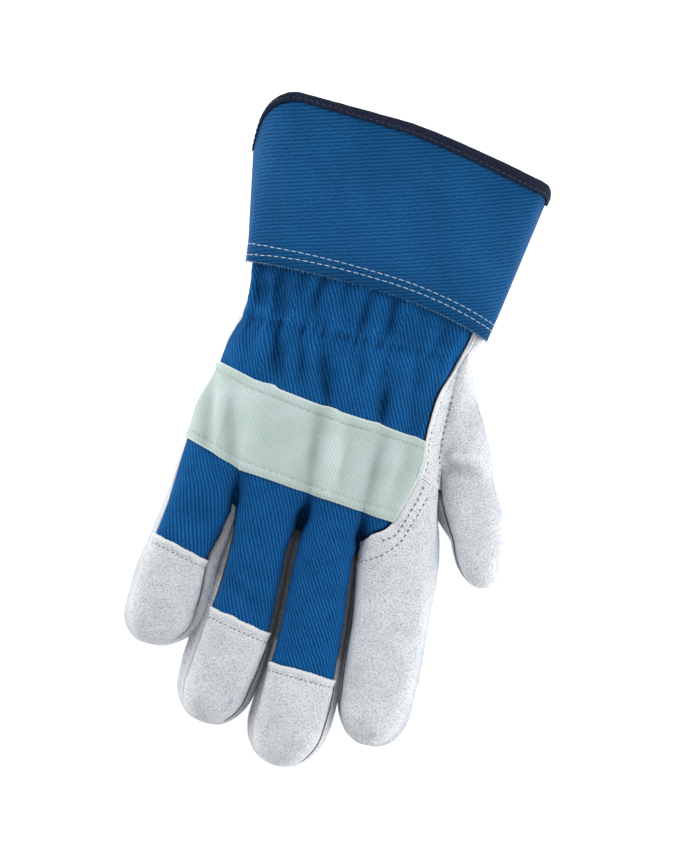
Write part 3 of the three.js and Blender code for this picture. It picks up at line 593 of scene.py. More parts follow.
def palm_relief(point, spot):
    """The side below the little finger is drawn in, and shade is painted on the palm where it rises at its
    sides.
    """
    side = 0.9 + 2.2 * ease((point.y - 6) / 10) * ease((62 - point.y) / 10) if spot["side"] else 0
    drawn_in = side * math.sin(math.pi * clamp01(spot["rim"] / 9))
    spot["fold"] = 1.5 * ease((point.z - 3) / 4) * ease((20 - point.z) / 5)
    return pillow(spot, 0.5, 1.2) - drawn_in + 0.3 * ripple(point, 11, 3.0)


hide_thickness, thin_hide = 1.3, 1.2
palm = bmesh.new()
laid = {}
for tongue in tongues:
    laid.update(lay(palm, steps(0, end_of(tongue), 8), steps(-1, 1, 12),
                    functools.partial(sole_point, tongue), flip=True))
for left_tongue, right_tongue in neighbours + (("index", "thumb"),):
    crotch = crotch_of(right_tongue)
    laid.update(lay(palm, steps(crotch - 0.5, crotch, 8), [0, 1], lambda v, t: sole_point(
        left_tongue, v, 1).lerp(sole_point(right_tongue, v, -1), t), flip=True))
for spot in laid.values():
    spot["side"] = False
made = lay(palm, steps(0, end_of("little"), 8), steps(0, 1, 10),
           lambda v, r: side_point("little", v, -1, r), flip=True)
for spot in made.values():
    spot["side"] = spot["v"] < 6.5
laid.update(made)
sew("palm_hide", palm, laid, palm_relief, hide_thickness, split_leather, ["palm_leather"])


# Back of the hand and of three fingers.
# One piece of heavy cotton twill, dyed mid blue and drawn in at the wrist by a sewn-in elastic. Its steep
# fine ribs run up the hand and slant over the fingers; worn yarns show lighter than the lines between them.
cotton_twill, tree, shader = new_finish("cotton_twill_mid_blue", {
    "Roughness": 0.9, "Specular IOR Level": 0.05, "Sheen Weight": 0.04, "Sheen Roughness": 0.5,
    "Sheen Tint": colour("#9cc4e6"),
})
cut_map = add_node(tree, "ShaderNodeTexCoord").outputs["UV"]  # in millimetres
turned = add_node(tree, "ShaderNodeMapping", {"Rotation": (0, 0, math.radians(-29))}, {"Vector": cut_map})
one_rib = 0.3142  # the scale at which a wave texture has its ribs one unit apart
rib_pitch = 1.5  # millimetres
ribs = add_node(tree, "ShaderNodeTexWave", {
    "bands_direction": "X", "Scale": one_rib / rib_pitch, "Distortion": 1.6, "Detail": 3, "Detail Scale": 1.8,
    "Detail Roughness": 0.6,
}, {"Vector": turned})
slub_map = add_node(tree, "ShaderNodeMapping", {"Scale": (1.3, 0.5, 1)}, {"Vector": turned})
slubs = add_node(tree, "ShaderNodeTexNoise", {"Scale": 1.5, "Detail": 3, "Roughness": 0.75},
                 {"Vector": slub_map})  # thick places in the yarn, 0.7 mm
yarn = add_node(tree, "ShaderNodeMix", {"data_type": "FLOAT", 0: 0.56}, {2: ribs.outputs["Fac"], 3: slubs})
yarn_colour = add_node(tree, "ShaderNodeValToRGB", {
    "stops": [(0.25, "#0b3d6b"), (0.52, "#11528b"), (0.78, "#1e69a9")],
}, {"Fac": yarn})
wear = add_node(tree, "ShaderNodeTexNoise", {"Scale": 0.12, "Detail": 6, "Roughness": 0.72},
                {"Vector": cut_map})  # patches 8 mm wide
worn = add_node(tree, "ShaderNodeValToRGB", {"stops": [(0.32, "#dcdfe3"), (0.68, "#ffffff")]}, {"Fac": wear})
worn_twill = add_node(tree, "ShaderNodeMix", {"data_type": "RGBA", "blend_type": "MULTIPLY", 0: 1.0},
                      {6: yarn_colour, 7: worn})
# Painted shade: the cloth is drawn darker in its folds and paler on its raised folds, and dark along its edges
# as the shade of its seams.
twill_with_painted_shade = paint_light_and_shade(tree, worn_twill, (-1.2, 2.6), (1.17, 0.62), (0.3, 1.5), 0.75, "#0a1c33")
put_on(tree, shader, twill_with_painted_shade.outputs[2], yarn, 0.6, 0.0003)
# Sharper folds than the gathers, written as they are. The strap over the knuckles bends in the last set and
# presses the cloth down under it.
finger_folds = [
    ((-14, -62), (-2, -80), 3.0, 0.6), ((-23, -68), (-3, -80), 2.6, 1.1), ((10, -52), (16, -70), 3, 0.4),
    ((-46, -34), (-38, -52), 3, 0.4), ((2.5, -24), (2.4, -42), 3.8, 1.4), ((-27.5, -22), (-27, -42), 3.6, 1.2),
    ((26, -24), (27.4, -42), 3.4, 1.6), ((36, -18), (31, -34), 2.5, 0.5),
]
wrist_folds = [
    ((-45, 57), (-40, 44), 1.7, 2.0), ((-40.4, 56), (-36.4, 43), 1.5, 1.5), ((-36, 58), (-33.4, 46), 1.3, 0.8),
    ((-43, 38), (-42, 26), 1.8, 0.9), ((-21, 58), (-13.4, 40.6), 2, 0.9), ((-10.3, 35), (1.3, 7), 2.2, 1.5),
    ((-31.8, 40), (-19.7, 11), 2.2, 1.2), ((-20.6, 38.5), (-11, 12), 2, 1.0), ((20.5, 27), (23.3, 7), 2, 1.3),
    ((33.9, 26), (34.5, 7), 2, 1.0), ((6, 38), (10, 24), 1.8, 0.6), ((-2.2, 56), (-1.6, 44), 1.8, 0.8),
    ((22, 58), (20, 44), 1.8, 0.7),
]
strap_folds = [
    ((-51, 14), (-43, -26), 3.0, 2.0), ((-40, 4), (-30, -31), 3.2, 2.0), ((-4, 16), (2, -32), 4.0, 2.7),
    ((24.6, 12), (26, -34), 3.6, 2.4), ((36, 10), (34, -24), 4, 0.8), ((-20, 14), (-14, -26), 4, 0.3),
    ((11, 13), (14, -28), 4, 0.6),
]
cap_row = {"little": 9, "ring": 10, "middle": 11}  # where each leather fingertip starts


def crease(point, folds):
    return gather(point.x, point.y, folds)


def cloth_relief(point, spot):
    """A tunnel holds the elastic, 40 mm up the hand. Fine puckers lie beside it and a crumple round it; the
    cloth runs flat under the fingertips and the strap."""
    x, y = point.x, point.y
    elastic = 40 + 0.08 * x
    tunnel = 0.8 * ridge(y, elastic, 1.5) - 0.4 * ridge(y, elastic + 3.4, 1.8)
    wander = 2.5 * ripple((x, y * 0.2, 0), 12)
    puckers = 0.42 * math.sin(x * 1.4 + wander) * ridge(y, elastic, 5.5)
    puckers += 0.3 * math.sin(x * 3.1 + 2 * wander) * ridge(y, elastic + 1, 2.4)
    crumple = 2.0 * ridge(y, 42, 20) * ripple((x, y * 0.35, point.z * 0.3), 5.5, 9.0)
    crumple += 0.6 * ripple((x, y * 0.6, 0), 8, 2.0)
    off_seam = mix(0.25, 1, clamp01(spot["rim"] / 3.5))
    crumple *= clamp01(y / 8) * off_seam
    tunnel, puckers = tunnel * off_seam, puckers * off_seam * (y > 0)
    slack = 0.35 * ripple((x, y, point.z), 7, 5.0)
    hidden = clamp01((spot["past_cap"] + 0.1) / 0.1)
    strapped = ease((spot["v"] - 3.95) / 0.1) * ease((6.05 - spot["v"]) / 0.1)
    pressed = strapped * (0.3 + 0.85 * crease(point, strap_folds))
    folds = crease(point, finger_folds) + crease(point, wrist_folds)
    # Painted shade: deep folds, gathers and the tunnel darken the cloth; crumples and puckers that stand up are
    # painted lighter.
    spot["fold"] = folds + 0.5 * crease(point, gathers) - crumple - 0.6 * puckers + 0.5 * tunnel - 0.35
    return pillow(spot, 1.0, 1.5) - 0.6 - tunnel + puckers + crumple + slack - folds - 0.4 * hidden - pressed


# The weave leans with each finger, and a web of cloth sinks in between two fingers.
weave_lean = {"little": -0.21, "ring": -0.045, "middle": 0.12, "index": 0.12}
cloth_thickness = 1.1
cloth = bmesh.new()
laid = {}
for tongue in tongues:
    last = cap_row[tongue] + 0.25 if tongue != "index" else finger_crotch
    across = steps(-1, 1, 20) if tongue != "index" else steps(-1, 2 * cloth_share - 1, 20)
    made = lay(cloth, steps(0, last, 16), across, functools.partial(back_point, tongue),
               lean=weave_lean[tongue])
    for spot in made.values():
        spot["past_cap"] = spot["v"] - cap_row.get(tongue, 99)
    laid.update(made)
for left_tongue, right_tongue in neighbours:
    made = lay(cloth, steps(6.5, 7.5, 16), steps(0, 1, 6), lambda v, t: back_point(left_tongue, v, 1).lerp(
        back_point(right_tongue, v, -1), t) - Vector(
            (0, 0, 6 * math.sin(math.pi * t) ** 0.6 * ease((v - 6.8) / 0.7))))
    for spot in made.values():
        spot["past_cap"] = -99
    laid.update(made)
back_surface = sew("back_twill", cloth, laid, cloth_relief, cloth_thickness, cotton_twill, ["back_cloth"])


# Fingertips of the little, ring and middle fingers.
# A cap of the same hide is laid over the end of the cloth with a raw cut edge, sewn down 3 mm inside it
# with fine dark grey thread.
def cap_relief(point, spot):
    """The cut edge stands up a little, and the stitches draw the hide in."""
    from_end = clamp01(spot["from_edge"] / 12)
    lifted = 1.3 - 0.9 * from_end + 0.4 * ridge(spot["from_edge"], 0, 0.8)
    sewn = 0.35 * ridge(spot["from_edge"], 3.4, 0.8)
    beside = min(spot["left"], spot["right"])
    return lifted * clamp01(beside / 1.5) - sewn + 0.3 * ripple(point, 9, 4.0) + 0.12 * ripple(point, 3.5, 1.0)


cap_surface = {}
for tongue, start in cap_row.items():
    cap = bmesh.new()
    end = end_of(tongue)

    def cap_point(v, s):
        ragged = 0.02 * ripple((s * 22, 0, start), 1.7) + 0.05 * ripple((s * 3, 3, start), 1.5)
        return back_point(tongue, v + ragged * clamp01(1 - 2 * (v - start)), s)

    made = lay(cap, steps(start, end - 1, 20) + steps(end - 1, end, 26)[1:], steps(-1, 1, 20), cap_point)
    for spot in made.values():
        spot["from_edge"] = (spot["v"] - start) * 13  # a row is about 13 mm long
        spot["fold"] = 0 if tongue == "middle" else 0.7  # the two smaller tips are drawn a little darker
    cap_surface[tongue] = sew(tongue + "_fingertip", cap, made, cap_relief, thin_hide, split_leather,
                              [tongue + "_cap"])


# Index finger and the band beside the hand.
# The index finger is leather all over. Its upper edge is lapped over the cloth, and a narrow band of the
# same hide goes on up the side of the hand to the cuff; a short seam joins the two.
seam_share = 2 * cloth_share - 1
lap_line = [back_point("index", v, seam_share) for v in steps(thumb_crotch, finger_crotch, 16)]
lap_line += [back_point("index", finger_crotch, s) for s in steps(seam_share, -1, 12)[1:]]
lap_tree = kdtree.KDTree(len(lap_line))
for count, lap_spot in enumerate(lap_line):
    lap_tree.insert(lap_spot, count)
lap_tree.balance()


def index_relief(point, spot):
    """The lap lies on the cloth, drawn in along its two rows of stitches."""
    from_lap = lap_tree.find(point)[2] if point.z > 20 else 99
    # Shade is painted on the finger's lower sides.
    spot["fold"] = 2.0 * ease((20 - point.z) / 6)
    lap = ridge(from_lap, 0, 7) * clamp01(spot["rim"] / 1.2 + 0.6)
    sewn = 0.35 * ridge(from_lap, 3.3, 0.8) + 0.3 * ridge(from_lap, 7.8, 0.8)
    return lap + pillow(spot, 0.5, 1.4) - sewn + 0.3 * ripple(point, 10, 6.0) + 0.14 * ripple(point, 4, 1.0)


index = bmesh.new()
laid = lay(index, steps(thumb_crotch, finger_crotch, 20), steps(seam_share, 1, 30),
           functools.partial(back_point, "index"))
tip_rows = steps(end_of("index") - 1, end_of("index"), 26)[1:]
index_rows = steps(finger_crotch, end_of("index") - 1, 20) + tip_rows
laid.update(lay(index, index_rows, steps(-1, 1, 30), functools.partial(back_point, "index")))
side_rows = steps(thumb_crotch, end_of("index") - 1, 20) + tip_rows
laid.update(lay(index, side_rows, steps(0, 1, 10), lambda v, r: side_point("index", v, 1, r)))
index_surface = sew("index_hide", index, laid, index_relief, hide_thickness, split_leather, ["index_back"],
                    joined=lambda spot: spot["v"] <= thumb_crotch and spot["s"] > 0.6)


# The hide puckers a little where the thumb bends away from the hand; shade is painted in these creases and
# light on the ridge between them.
thumb_folds = [
    ((52.6, 0), (69, 1.4), 2.3, 2.7), ((53, 4.6), (68, 7.4), 2.4, -1.7), ((56, -5), (73, -11), 5.5, 0.9),
    ((62, -4), (78, 2), 4, 0.6), ((59, 32), (68, 18), 4, 0.9),
]


def beside_hand(point, spot):
    """What the band and the thumb share, so that one runs on into the other."""
    # Painted shade in the thumb's creases and on the lower sides, which are also sunk a little.
    spot["fold"] = crease(point, thumb_folds) if point.z > 14 else 1.8 * ease((14 - point.z) / 5)
    return 0.45 + 0.3 * ripple(point, 10, 8.0) + 0.12 * ripple(point, 4, 1.0) - spot["fold"]


band_rows = (2.6, 1.6)  # its stitches, in from its left and right edge


def band_relief(point, spot):
    """Its left edge is turned under, and both rows of stitches draw it in."""
    rolled = 0.8 * ridge(spot["left"], 0.9, 1.2)
    sewn = 0.35 * ridge(spot["left"], band_rows[0], 0.6) + 0.35 * ridge(spot["right"], band_rows[1], 0.6)
    relief = beside_hand(point, spot) + pillow(spot, 0.5, 1.2) - 0.5 + rolled - sewn
    # Light is painted on the whole band.
    spot["fold"] -= 0.9
    return relief


band = bmesh.new()
laid = lay(band, steps(0, thumb_crotch, 20), steps(seam_share, 1, 36), functools.partial(back_point, "index"))
band_surface = sew("hand_side_band", band, laid, band_relief, hide_thickness, split_leather, ["side_band"],
                   joined=lambda spot: spot["s"] > 0.999 or spot["v"] >= thumb_crotch and spot["s"] > 0.6)


# Strips between the fingers.
# Narrow strips of the same hide join the back and the front of neighbouring fingers and turn round at the
# crotch. They are sewn inside out, so that their seams stand in a fine ridge along the fingers.
strip_swell = {("little", 1): 2.8, ("ring", -1): 1.6, ("ring", 1): 0.8, ("middle", -1): 0.8,
               ("middle", 1): 0.9, ("index", -1): 0.9}
for left_tongue, right_tongue in neighbours:
    strip = bmesh.new()
    laid = {}
    top_of_strip = (0, 0.5) if left_tongue == "little" else (0.5, 0.5)  # how far it is sunk at the crotch
    for (tongue, hand), sunk in zip(((left_tongue, 1), (right_tongue, -1)), top_of_strip):
        rows = steps(finger_crotch, end_of(tongue) - 1, 12) + steps(end_of(tongue) - 1, end_of(tongue), 20)[1:]
        made = lay(strip, rows, steps(0, 1, 12), lambda v, r: side_point(
            tongue, v, hand, mix(sunk * (1 - ease((v - 7.2) / 0.6)), 1, r)), flip=hand < 0)
        for spot in made.values():
            near_tip = ease(spot["v"] - end_of(tongue) + 1.2)
            high = 0.6 if (tongue, hand) == ("little", 1) else 1
            spot["swell"] = (strip_swell[tongue, hand] * (1 - near_tip) - 0.9 * near_tip) * math.sin(
                math.pi * clamp01(spot["s"] / 0.7) ** high)
            past_cap = spot["v"] - cap_row.get(tongue, 10.6)
            # Painted shade on the walls between the fingers, and painted light on the open one beside the
            # little finger.
            shaded = {("little", 1): -6, ("ring", -1): 6.5 - 6 * ease((spot["v"] - 8.9) / 0.6),
                      ("middle", 1): 4.5 - 4.5 * ease(past_cap + 1)}
            spot["fold"] = shaded.get((tongue, hand), 6.5 - 5.5 * ease(past_cap / 1.4))
            spot["hidden"] = spot["v"] < 10.5 and (tongue, hand) != ("little", 1)
        laid.update(made)
    made = lay(strip, steps(0, 1, 12), [0, 1], lambda r, t: side_point(
        left_tongue, finger_crotch, 1, mix(top_of_strip[0], 1, r)).lerp(
            side_point(right_tongue, finger_crotch, -1, mix(top_of_strip[1], 1, r)), t))
    for spot in made.values():
        # The web at the crotch is painted dark, as shade.
        spot["swell"], spot["fold"], spot["hidden"] = 0, 6, True
    laid.update(made)

    def strip_relief(point, spot):
        return spot["swell"] + pillow(spot, 0.25, 1.0) + 0.2 * ripple(point, 6, 2.0)

    sew(f"strip_{left_tongue}_{right_tongue}", strip, laid, strip_relief, thin_hide, split_leather,
        [f"fork_{left_tongue}_{right_tongue}"], joined=lambda spot: spot["hidden"])


# Thumb.
# Two halves of the same hide, a back and a front, meet in a seam along the side that faces the fingers. The
# back runs on from the band beside the hand, and the front is sewn to the edge of the palm.
def thumb_relief(point, spot):
    """Light is painted on the hide towards the tip."""
    relief = beside_hand(point, spot) + pillow(spot, 0.5, 1.3) - 0.5
    spot["fold"] -= 1.2 * ease((-8 - point.y) / 20)
    return relief


thumb_rows = steps(0, end_of("thumb") - 1, 18) + steps(end_of("thumb") - 1, end_of("thumb"), 26)[1:]
thumb_back = bmesh.new()
laid = lay(thumb_back, thumb_rows, steps(-1, 1, 20), functools.partial(back_point, "thumb"))
laid.update(lay(thumb_back, thumb_rows, steps(0, 1, 10), lambda v, r: side_point("thumb", v, 1, r)))
laid.update(lay(thumb_back, steps(4.5, 5, 18), [0, 1], lambda v, t: back_point("index", v, 1).lerp(
    back_point("thumb", v, -1), t)))
sew("thumb_back_hide", thumb_back, laid, thumb_relief, hide_thickness, split_leather, ["thumb_back"],
    joined=lambda spot: spot["s"] in (-1, 0) and spot["v"] <= thumb_crotch)
thumb_front = bmesh.new()
laid = lay(thumb_front, thumb_rows, steps(-1, 1, 12), functools.partial(sole_point, "thumb"), flip=True)
side_rows = [v for v in thumb_rows if v >= thumb_crotch]


def thumb_side_point(v, r):
    """The side towards the fingers, which is full below the crotch."""
    full = 3.6 * ease((v - thumb_crotch) / 0.5) * (1 - ease((v - 6.1) / 0.9)) * math.sin(math.pi * r)
    return side_point("thumb", v, -1, r) + Vector((-0.95, 0.2, 0)) * full


laid.update(lay(thumb_front, side_rows, steps(0, 1, 10), thumb_side_point, flip=True))
# Two webs close the crotch, and a third piece closes its end.
for low_row, share in ((5.9, 0.36), (5.6, 0.9)):
    laid.update(lay(thumb_front, steps(thumb_crotch, low_row, 12), [0, 1], lambda v, t: side_point(
        "index", v, 1, share).lerp(thumb_side_point(v, share), t)))
laid.update(lay(thumb_front, steps(0, 1, 10), [0, 1], lambda r, t: side_point(
    "index", thumb_crotch, 1, r).lerp(side_point("thumb", thumb_crotch, -1, r), t)))
seam_allowance = Vector((-3.5, 0, 1.4))  # turned in over the edge of the palm
laid.update(lay(thumb_front, steps(0.5, thumb_crotch, 18), [0, 1], lambda v, t: sole_point(
    "thumb", v, -1) + seam_allowance * t))
sew("thumb_front_hide", thumb_front, laid, thumb_relief, hide_thickness, split_leather, ["thumb_front"])


# Knuckle strap.
# A pale green-grey woven strap with its long edges turned under and sewn, laid over the cloth and caught in
# the seams at both ends; it bends in a few soft folds over the knuckles and frays at its right end.
# Smooth polyester yarns lie close and flat in it, so it has a faint even shine.
strap_weave, tree, shader = new_finish("woven_strap_pale_green", {"Roughness": 0.6, "Specular IOR Level": 0.35})
cut_map = add_node(tree, "ShaderNodeTexCoord").outputs["UV"]
turned = add_node(tree, "ShaderNodeMapping", {"Rotation": (0, 0, math.radians(-33))}, {"Vector": cut_map})
strap_rib_pitch = 1.08  # millimetres: the real weave is finer, and is drawn coarser so that it shows
strap_ribs = add_node(tree, "ShaderNodeTexWave", {
    "bands_direction": "X", "Scale": one_rib / strap_rib_pitch, "Distortion": 0.7, "Detail": 2,
    "Detail Scale": 2,
}, {"Vector": turned})
strap_yarn = add_node(tree, "ShaderNodeTexNoise", {"Scale": 1.4, "Detail": 2}, {"Vector": cut_map})
strap_mix = add_node(tree, "ShaderNodeMath", {"operation": "MULTIPLY_ADD", 1: 0.7},
                     {0: strap_yarn, 2: strap_ribs.outputs["Fac"]})
strap_colour = add_node(tree, "ShaderNodeValToRGB", {"stops": [(0.1, "#a5b5b2"), (1.0, "#c6d4d1")]},
                        {"Fac": strap_mix})
strap_stain = add_node(tree, "ShaderNodeTexNoise", {"Scale": 0.06, "Detail": 3}, {"Vector": cut_map})
strap_tint = add_node(tree, "ShaderNodeValToRGB", {"stops": [(0.35, "#eaf0ec"), (0.65, "#fcfdff")]},
                      {"Fac": strap_stain})
strap_stained = add_node(tree, "ShaderNodeMix", {"data_type": "RGBA", "blend_type": "MULTIPLY", 0: 1.0},
                         {6: strap_colour, 7: strap_tint})
# Painted shade in its folds and towards both ends, painted light where it stands up; its edges are drawn paler.
strap_with_painted_shade = paint_light_and_shade(tree, strap_stained, (-1.4, 2.4), (1.14, 0.66), (0.2, 1.1), 0.6, "#e4ede9")
put_on(tree, shader, strap_with_painted_shade.outputs[2], strap_mix, 0.3, 0.0002)
# Where it stands up between its folds, and where it starts and ends: rows of the hand.
strap_rises = [
    ((-33.5, 12), (-25, -28), 4.5, 1.0), ((4, 14), (8.5, -28), 3.6, 1.5), ((31, 10), (31.5, -30), 3.4, 1.2),
    ((-46, 12), (-37.6, -26), 3.0, 1.5),
]
strap_top, strap_foot = 4, 6
strap_thickness = 0.9


def strap_relief(point, spot):
    """The turned hems are double, the rest spans the gathers below it; shade is painted towards both ends."""
    from_edge = min(spot["v"] - strap_top, strap_foot - spot["v"]) * 18  # a row is about 18 mm long
    hem = 0.45 * ease((4.2 - from_edge) / 0.8) - 0.3 * ridge(from_edge, 4, 0.7)
    rolled = 0.6 * ridge(from_edge, 0, 0.9)
    filled = 0.6 * crease(point, gathers)
    bent = 0.8 * crease(point, strap_folds) - 0.9 * crease(point, strap_rises)
    painted_end_shade = 0.55 * ease((point.x - 12) / 20) + 0.45 * ease((-30 - point.x) / 12)
    spot["fold"] = bent + painted_end_shade - 0.25
    lift = mix(0.4, 1.7, ease(spot["inside"] / 7))
    return lift + filled + hem - rolled - bent + 0.25 * ripple(point, 9, 1.0)


strap = bmesh.new()
laid = {}
for tongue in tongues:
    across = steps(-1, 1, 20) if tongue != "index" else steps(-1, seam_share, 20)
    made = lay(strap, steps(strap_top, strap_foot, 40), across, functools.partial(back_point, tongue))
    for spot in made.values():
        spot["inside"] = spot["left"] if tongue == "little" else 99  # millimetres from its left end
    laid.update(made)
strap_surface = sew("knuckle_webbing", strap, laid, strap_relief, strap_thickness, strap_weave,
                    ["knuckle_strap"])


# Cuff.
# A stiff tube of rubberised blue twill, pressed oval, flared towards its mouth and cut away in a rounded
# notch on the little finger's side. Its ribs run almost straight across; its lower edge is a raw selvedge.
# Rows of the oval: how far up the glove, left, right, bottom and top.
cuff_rows = [(54, -49.6, 55.8, -0.2, 37.8), (70, -52, 58, 0, 39), (96, -58.9, 61.2, 0.4, 41.4),
             (138, -64.4, 65.6, 1.4, 44)]
cuff_squareness = 3.3
cuff_wall = 1.6


def cuff_point(turn, y):
    """A point of the cuff at an angle round it, from its right side over the back."""
    i = max(0, min(len(cuff_rows) - 2, sum(row[0] <= y for row in cuff_rows) - 1))
    low, high = cuff_rows[i], cuff_rows[i + 1]
    _, left, right, base, top = mix(low, high, (y - low[0]) / (high[0] - low[0]))

    def share(value):
        return (1 + math.copysign(abs(value) ** (2 / cuff_squareness), value)) / 2

    return Vector((mix(left, right, share(math.cos(turn))), y, mix(base, top, share(math.sin(turn)))))


def across_cuff(turn):
    """From -1 on the left to 1 on the right."""
    return math.copysign(abs(math.cos(turn)) ** (2 / cuff_squareness), math.cos(turn))


def corner_drop(n, share, deep):
    """How far a rounded corner falls below the mouth."""
    return deep * (1 - math.sqrt(1 - 0.96 * clamp01((n - 1 + share) / share) ** 2))


def low_edge(n):
    """The lower edge hangs down at both sides, further at the thumb's."""
    return 63 - (3 if n < 0 else 7.6) * abs(n) ** 2.2


def high_edge(n):
    """The mouth slopes down to the right, and its left corner is cut away in a wide curve."""
    top = 132.8 - 0.6 * clamp01(-n) - 9 * clamp01(n) ** 1.25
    return top - 6 * clamp01(-n) ** 60 - corner_drop(n, 0.06, 5) - corner_drop(-n, 0.26, 26)


# The thin coat of rubber fills the twill, so its ribs are shallow and its sides catch a soft sheen.
coated_twill, tree, shader = new_finish("rubberised_twill_blue", {
    "Roughness": 0.75, "Specular IOR Level": 0.08, "Sheen Weight": 0.22, "Sheen Roughness": 0.35,
    "Sheen Tint": colour("#7fb2dc"),
})
cut_map = add_node(tree, "ShaderNodeTexCoord").outputs["UV"]
turned = add_node(tree, "ShaderNodeMapping", {"Rotation": (0, 0, math.radians(16))}, {"Vector": cut_map})
cuff_rib_pitch = 1.35  # millimetres; the distortion spreads the ribs to the 1.6 mm of the real ones
cuff_ribs = add_node(tree, "ShaderNodeTexWave", {
    "bands_direction": "Y", "Scale": one_rib / cuff_rib_pitch, "Distortion": 2.4, "Detail": 3,
    "Detail Scale": 1.8,
}, {"Vector": turned})
cuff_slub_map = add_node(tree, "ShaderNodeMapping", {"Scale": (0.5, 1.3, 1)}, {"Vector": turned})
cuff_slubs = add_node(tree, "ShaderNodeTexNoise", {"Scale": 1.1, "Detail": 4, "Roughness": 0.75},
                      {"Vector": cuff_slub_map})
cuff_yarn = add_node(tree, "ShaderNodeMix", {"data_type": "FLOAT", 0: 0.64},
                     {2: cuff_ribs.outputs["Fac"], 3: cuff_slubs})
cuff_yarn_colour = add_node(tree, "ShaderNodeValToRGB", {"stops": [(0.3, "#0c406f"), (0.74, "#1c6299")]},
                            {"Fac": cuff_yarn})
cuff_wear = add_node(tree, "ShaderNodeTexNoise", {"Scale": 0.05, "Detail": 4}, {"Vector": cut_map})
cuff_worn = add_node(tree, "ShaderNodeValToRGB", {"stops": [(0.3, "#e3e6ea"), (0.7, "#ffffff")]},
                     {"Fac": cuff_wear})
cuff_colour = add_node(tree, "ShaderNodeMix", {"data_type": "RGBA", "blend_type": "MULTIPLY", 0: 1.0},
                       {6: cuff_yarn_colour, 7: cuff_worn})
put_on(tree, shader, cuff_colour.outputs[2], cuff_yarn, 0.45, 0.00025)


def hem_rows(turn):
    """Heights of its two rows of stitches."""
    n = across_cuff(turn)
    return low_edge(n) + mix(4.7, 2.6, clamp01(-n) ** 3), low_edge(n) + 7.3


def cuff_relief(point, spot):
    """Slow waves, and a groove under each row of stitches."""
    pressed = sum(ridge(point.y, row, 0.7) for row in hem_rows(spot["s"]))
    return 0.45 * ripple(point, 32, 2.0) + 0.15 * ripple(point, 7, 3.0) - 0.35 * pressed


cuff = bmesh.new()
turns = [math.tau * i / 240 for i in range(241)]
cuff_steps = steps(1, 0.2, 50) + steps(0.2, 0, 120)[1:]
laid = lay(cuff, cuff_steps, turns, lambda t, turn: cuff_point(
    turn, mix(low_edge(across_cuff(turn)), high_edge(across_cuff(turn)), t)), flip=True)
cuff_surface = sew("cuff_tube", cuff, laid, cuff_relief, cuff_wall, coated_twill, ["cuff"])


# Edge tape.
# Navy cotton tape, folded over the mouth of the cuff and sewn through with thread of its own colour. Its
# close plain weave has no shine and shows as a fine grain.
navy_tape, tree, shader = new_finish("cotton_tape_navy", {"Roughness": 0.85, "Specular IOR Level": 0.15})
place_on_tape = add_node(tree, "ShaderNodeTexCoord").outputs["Object"]
tape_yarn = add_node(tree, "ShaderNodeTexNoise", {"Scale": 1400, "Detail": 2},
                     {"Vector": place_on_tape})  # yarns 0.7 mm apart
tape_colour = add_node(tree, "ShaderNodeValToRGB", {"stops": [(0.3, "#0c1122"), (0.75, "#262d44")]},
                       {"Fac": tape_yarn})
put_on(tree, shader, tape_colour.outputs[0], tape_yarn, 0.5, 0.0003)


def on_cuff(turn, beyond, out):
    """A point beyond the mouth of the cuff and out from its surface, both in millimetres."""
    def edge_at(t):
        return high_edge(across_cuff(t))

    rim, step = edge_at(turn), 0.02
    around = (cuff_point(turn + step, rim) - cuff_point(turn - step, rim)) / (2 * step)
    along = (cuff_point(turn, rim + step) - cuff_point(turn, rim - step)) / (2 * step)
    line = cuff_point(turn + step, edge_at(turn + step)) - cuff_point(turn - step, edge_at(turn - step))
    away = line.cross(along.cross(around)).normalized()
    away = away if away.y > 0 else -away
    t = turn + beyond * away.dot(around) / around.length_squared
    y = rim + beyond * away.dot(along) / along.length_squared
    around = cuff_point(t + step, y) - cuff_point(t - step, y)
    along = cuff_point(t, y + step) - cuff_point(t, y - step)
    return cuff_point(t, y) + along.cross(around).normalized() * out


# Section of the tape: how far out from the cuff in millimetres, and how far along it as a share of the
# tape's width.
tape_outline = [
    (0.25, -1.0), (0.85, -1.02), (1.15, -0.92), (1.2, -0.62), (0.9, -0.5), (1.25, -0.38), (1.3, 0.1),
    (0.9, 0.3), (-0.8, 0.38), (-2.5, 0.3), (-2.9, 0.1), (-2.85, -0.38), (-2.6, -0.5), (-2.8, -0.62),
    (-2.75, -0.92), (-2.5, -1.02), (-1.85, -1.0),
]


def tape_width(turn):
    """How far the tape reaches down from the mouth: narrow on the rounded corner, wider to the right."""
    n = across_cuff(turn)
    narrow = mix(0.4, 2.3, ease((n + 1) / 0.2))
    return mix(narrow, 4.0, clamp01((n + 0.7) / 1.4)) - 0.8 * ease((n - 0.93) / 0.07)


tape = bmesh.new()


def tape_point(k, turn):
    out, along = tape_outline[k]
    flat = mix(0.45, 1, ease((across_cuff(turn) + 1) / 0.12)) if out > 0 else 1
    return on_cuff(turn, along * (tape_width(turn) if along < 0 else 3.4), out * flat)


laid = lay(tape, range(len(tape_outline)), turns, tape_point)
tape_surface = sew("edge_tape", tape, laid, lambda point, spot: 0.15 * ripple(point, 3), 0, navy_tape,
                   ["cuff_binding"])


# Stitching.
# Lockstitch in spun thread: white along the cuff's lower edge, dark grey on the leather, green-grey on the
# strap. Every stitch is a short lens of thread sunk at both ends.
# Pitch of each kind of stitch, the gap between two, and the thread's thickness, in millimetres.
cuff_stitch, strap_stitch, tape_stitch = (3.1, 0.6, 0.36), (3.0, 0.9, 0.4), (2.6, 0.9, 0.4)
lap_stitch, band_stitch = (2.6, 1.1, 0.48), (2.6, 1.1, 0.42)
cap_stitch, close_stitch = (2.1, 0.9, 0.42), (1.5, 0.5, 0.45)


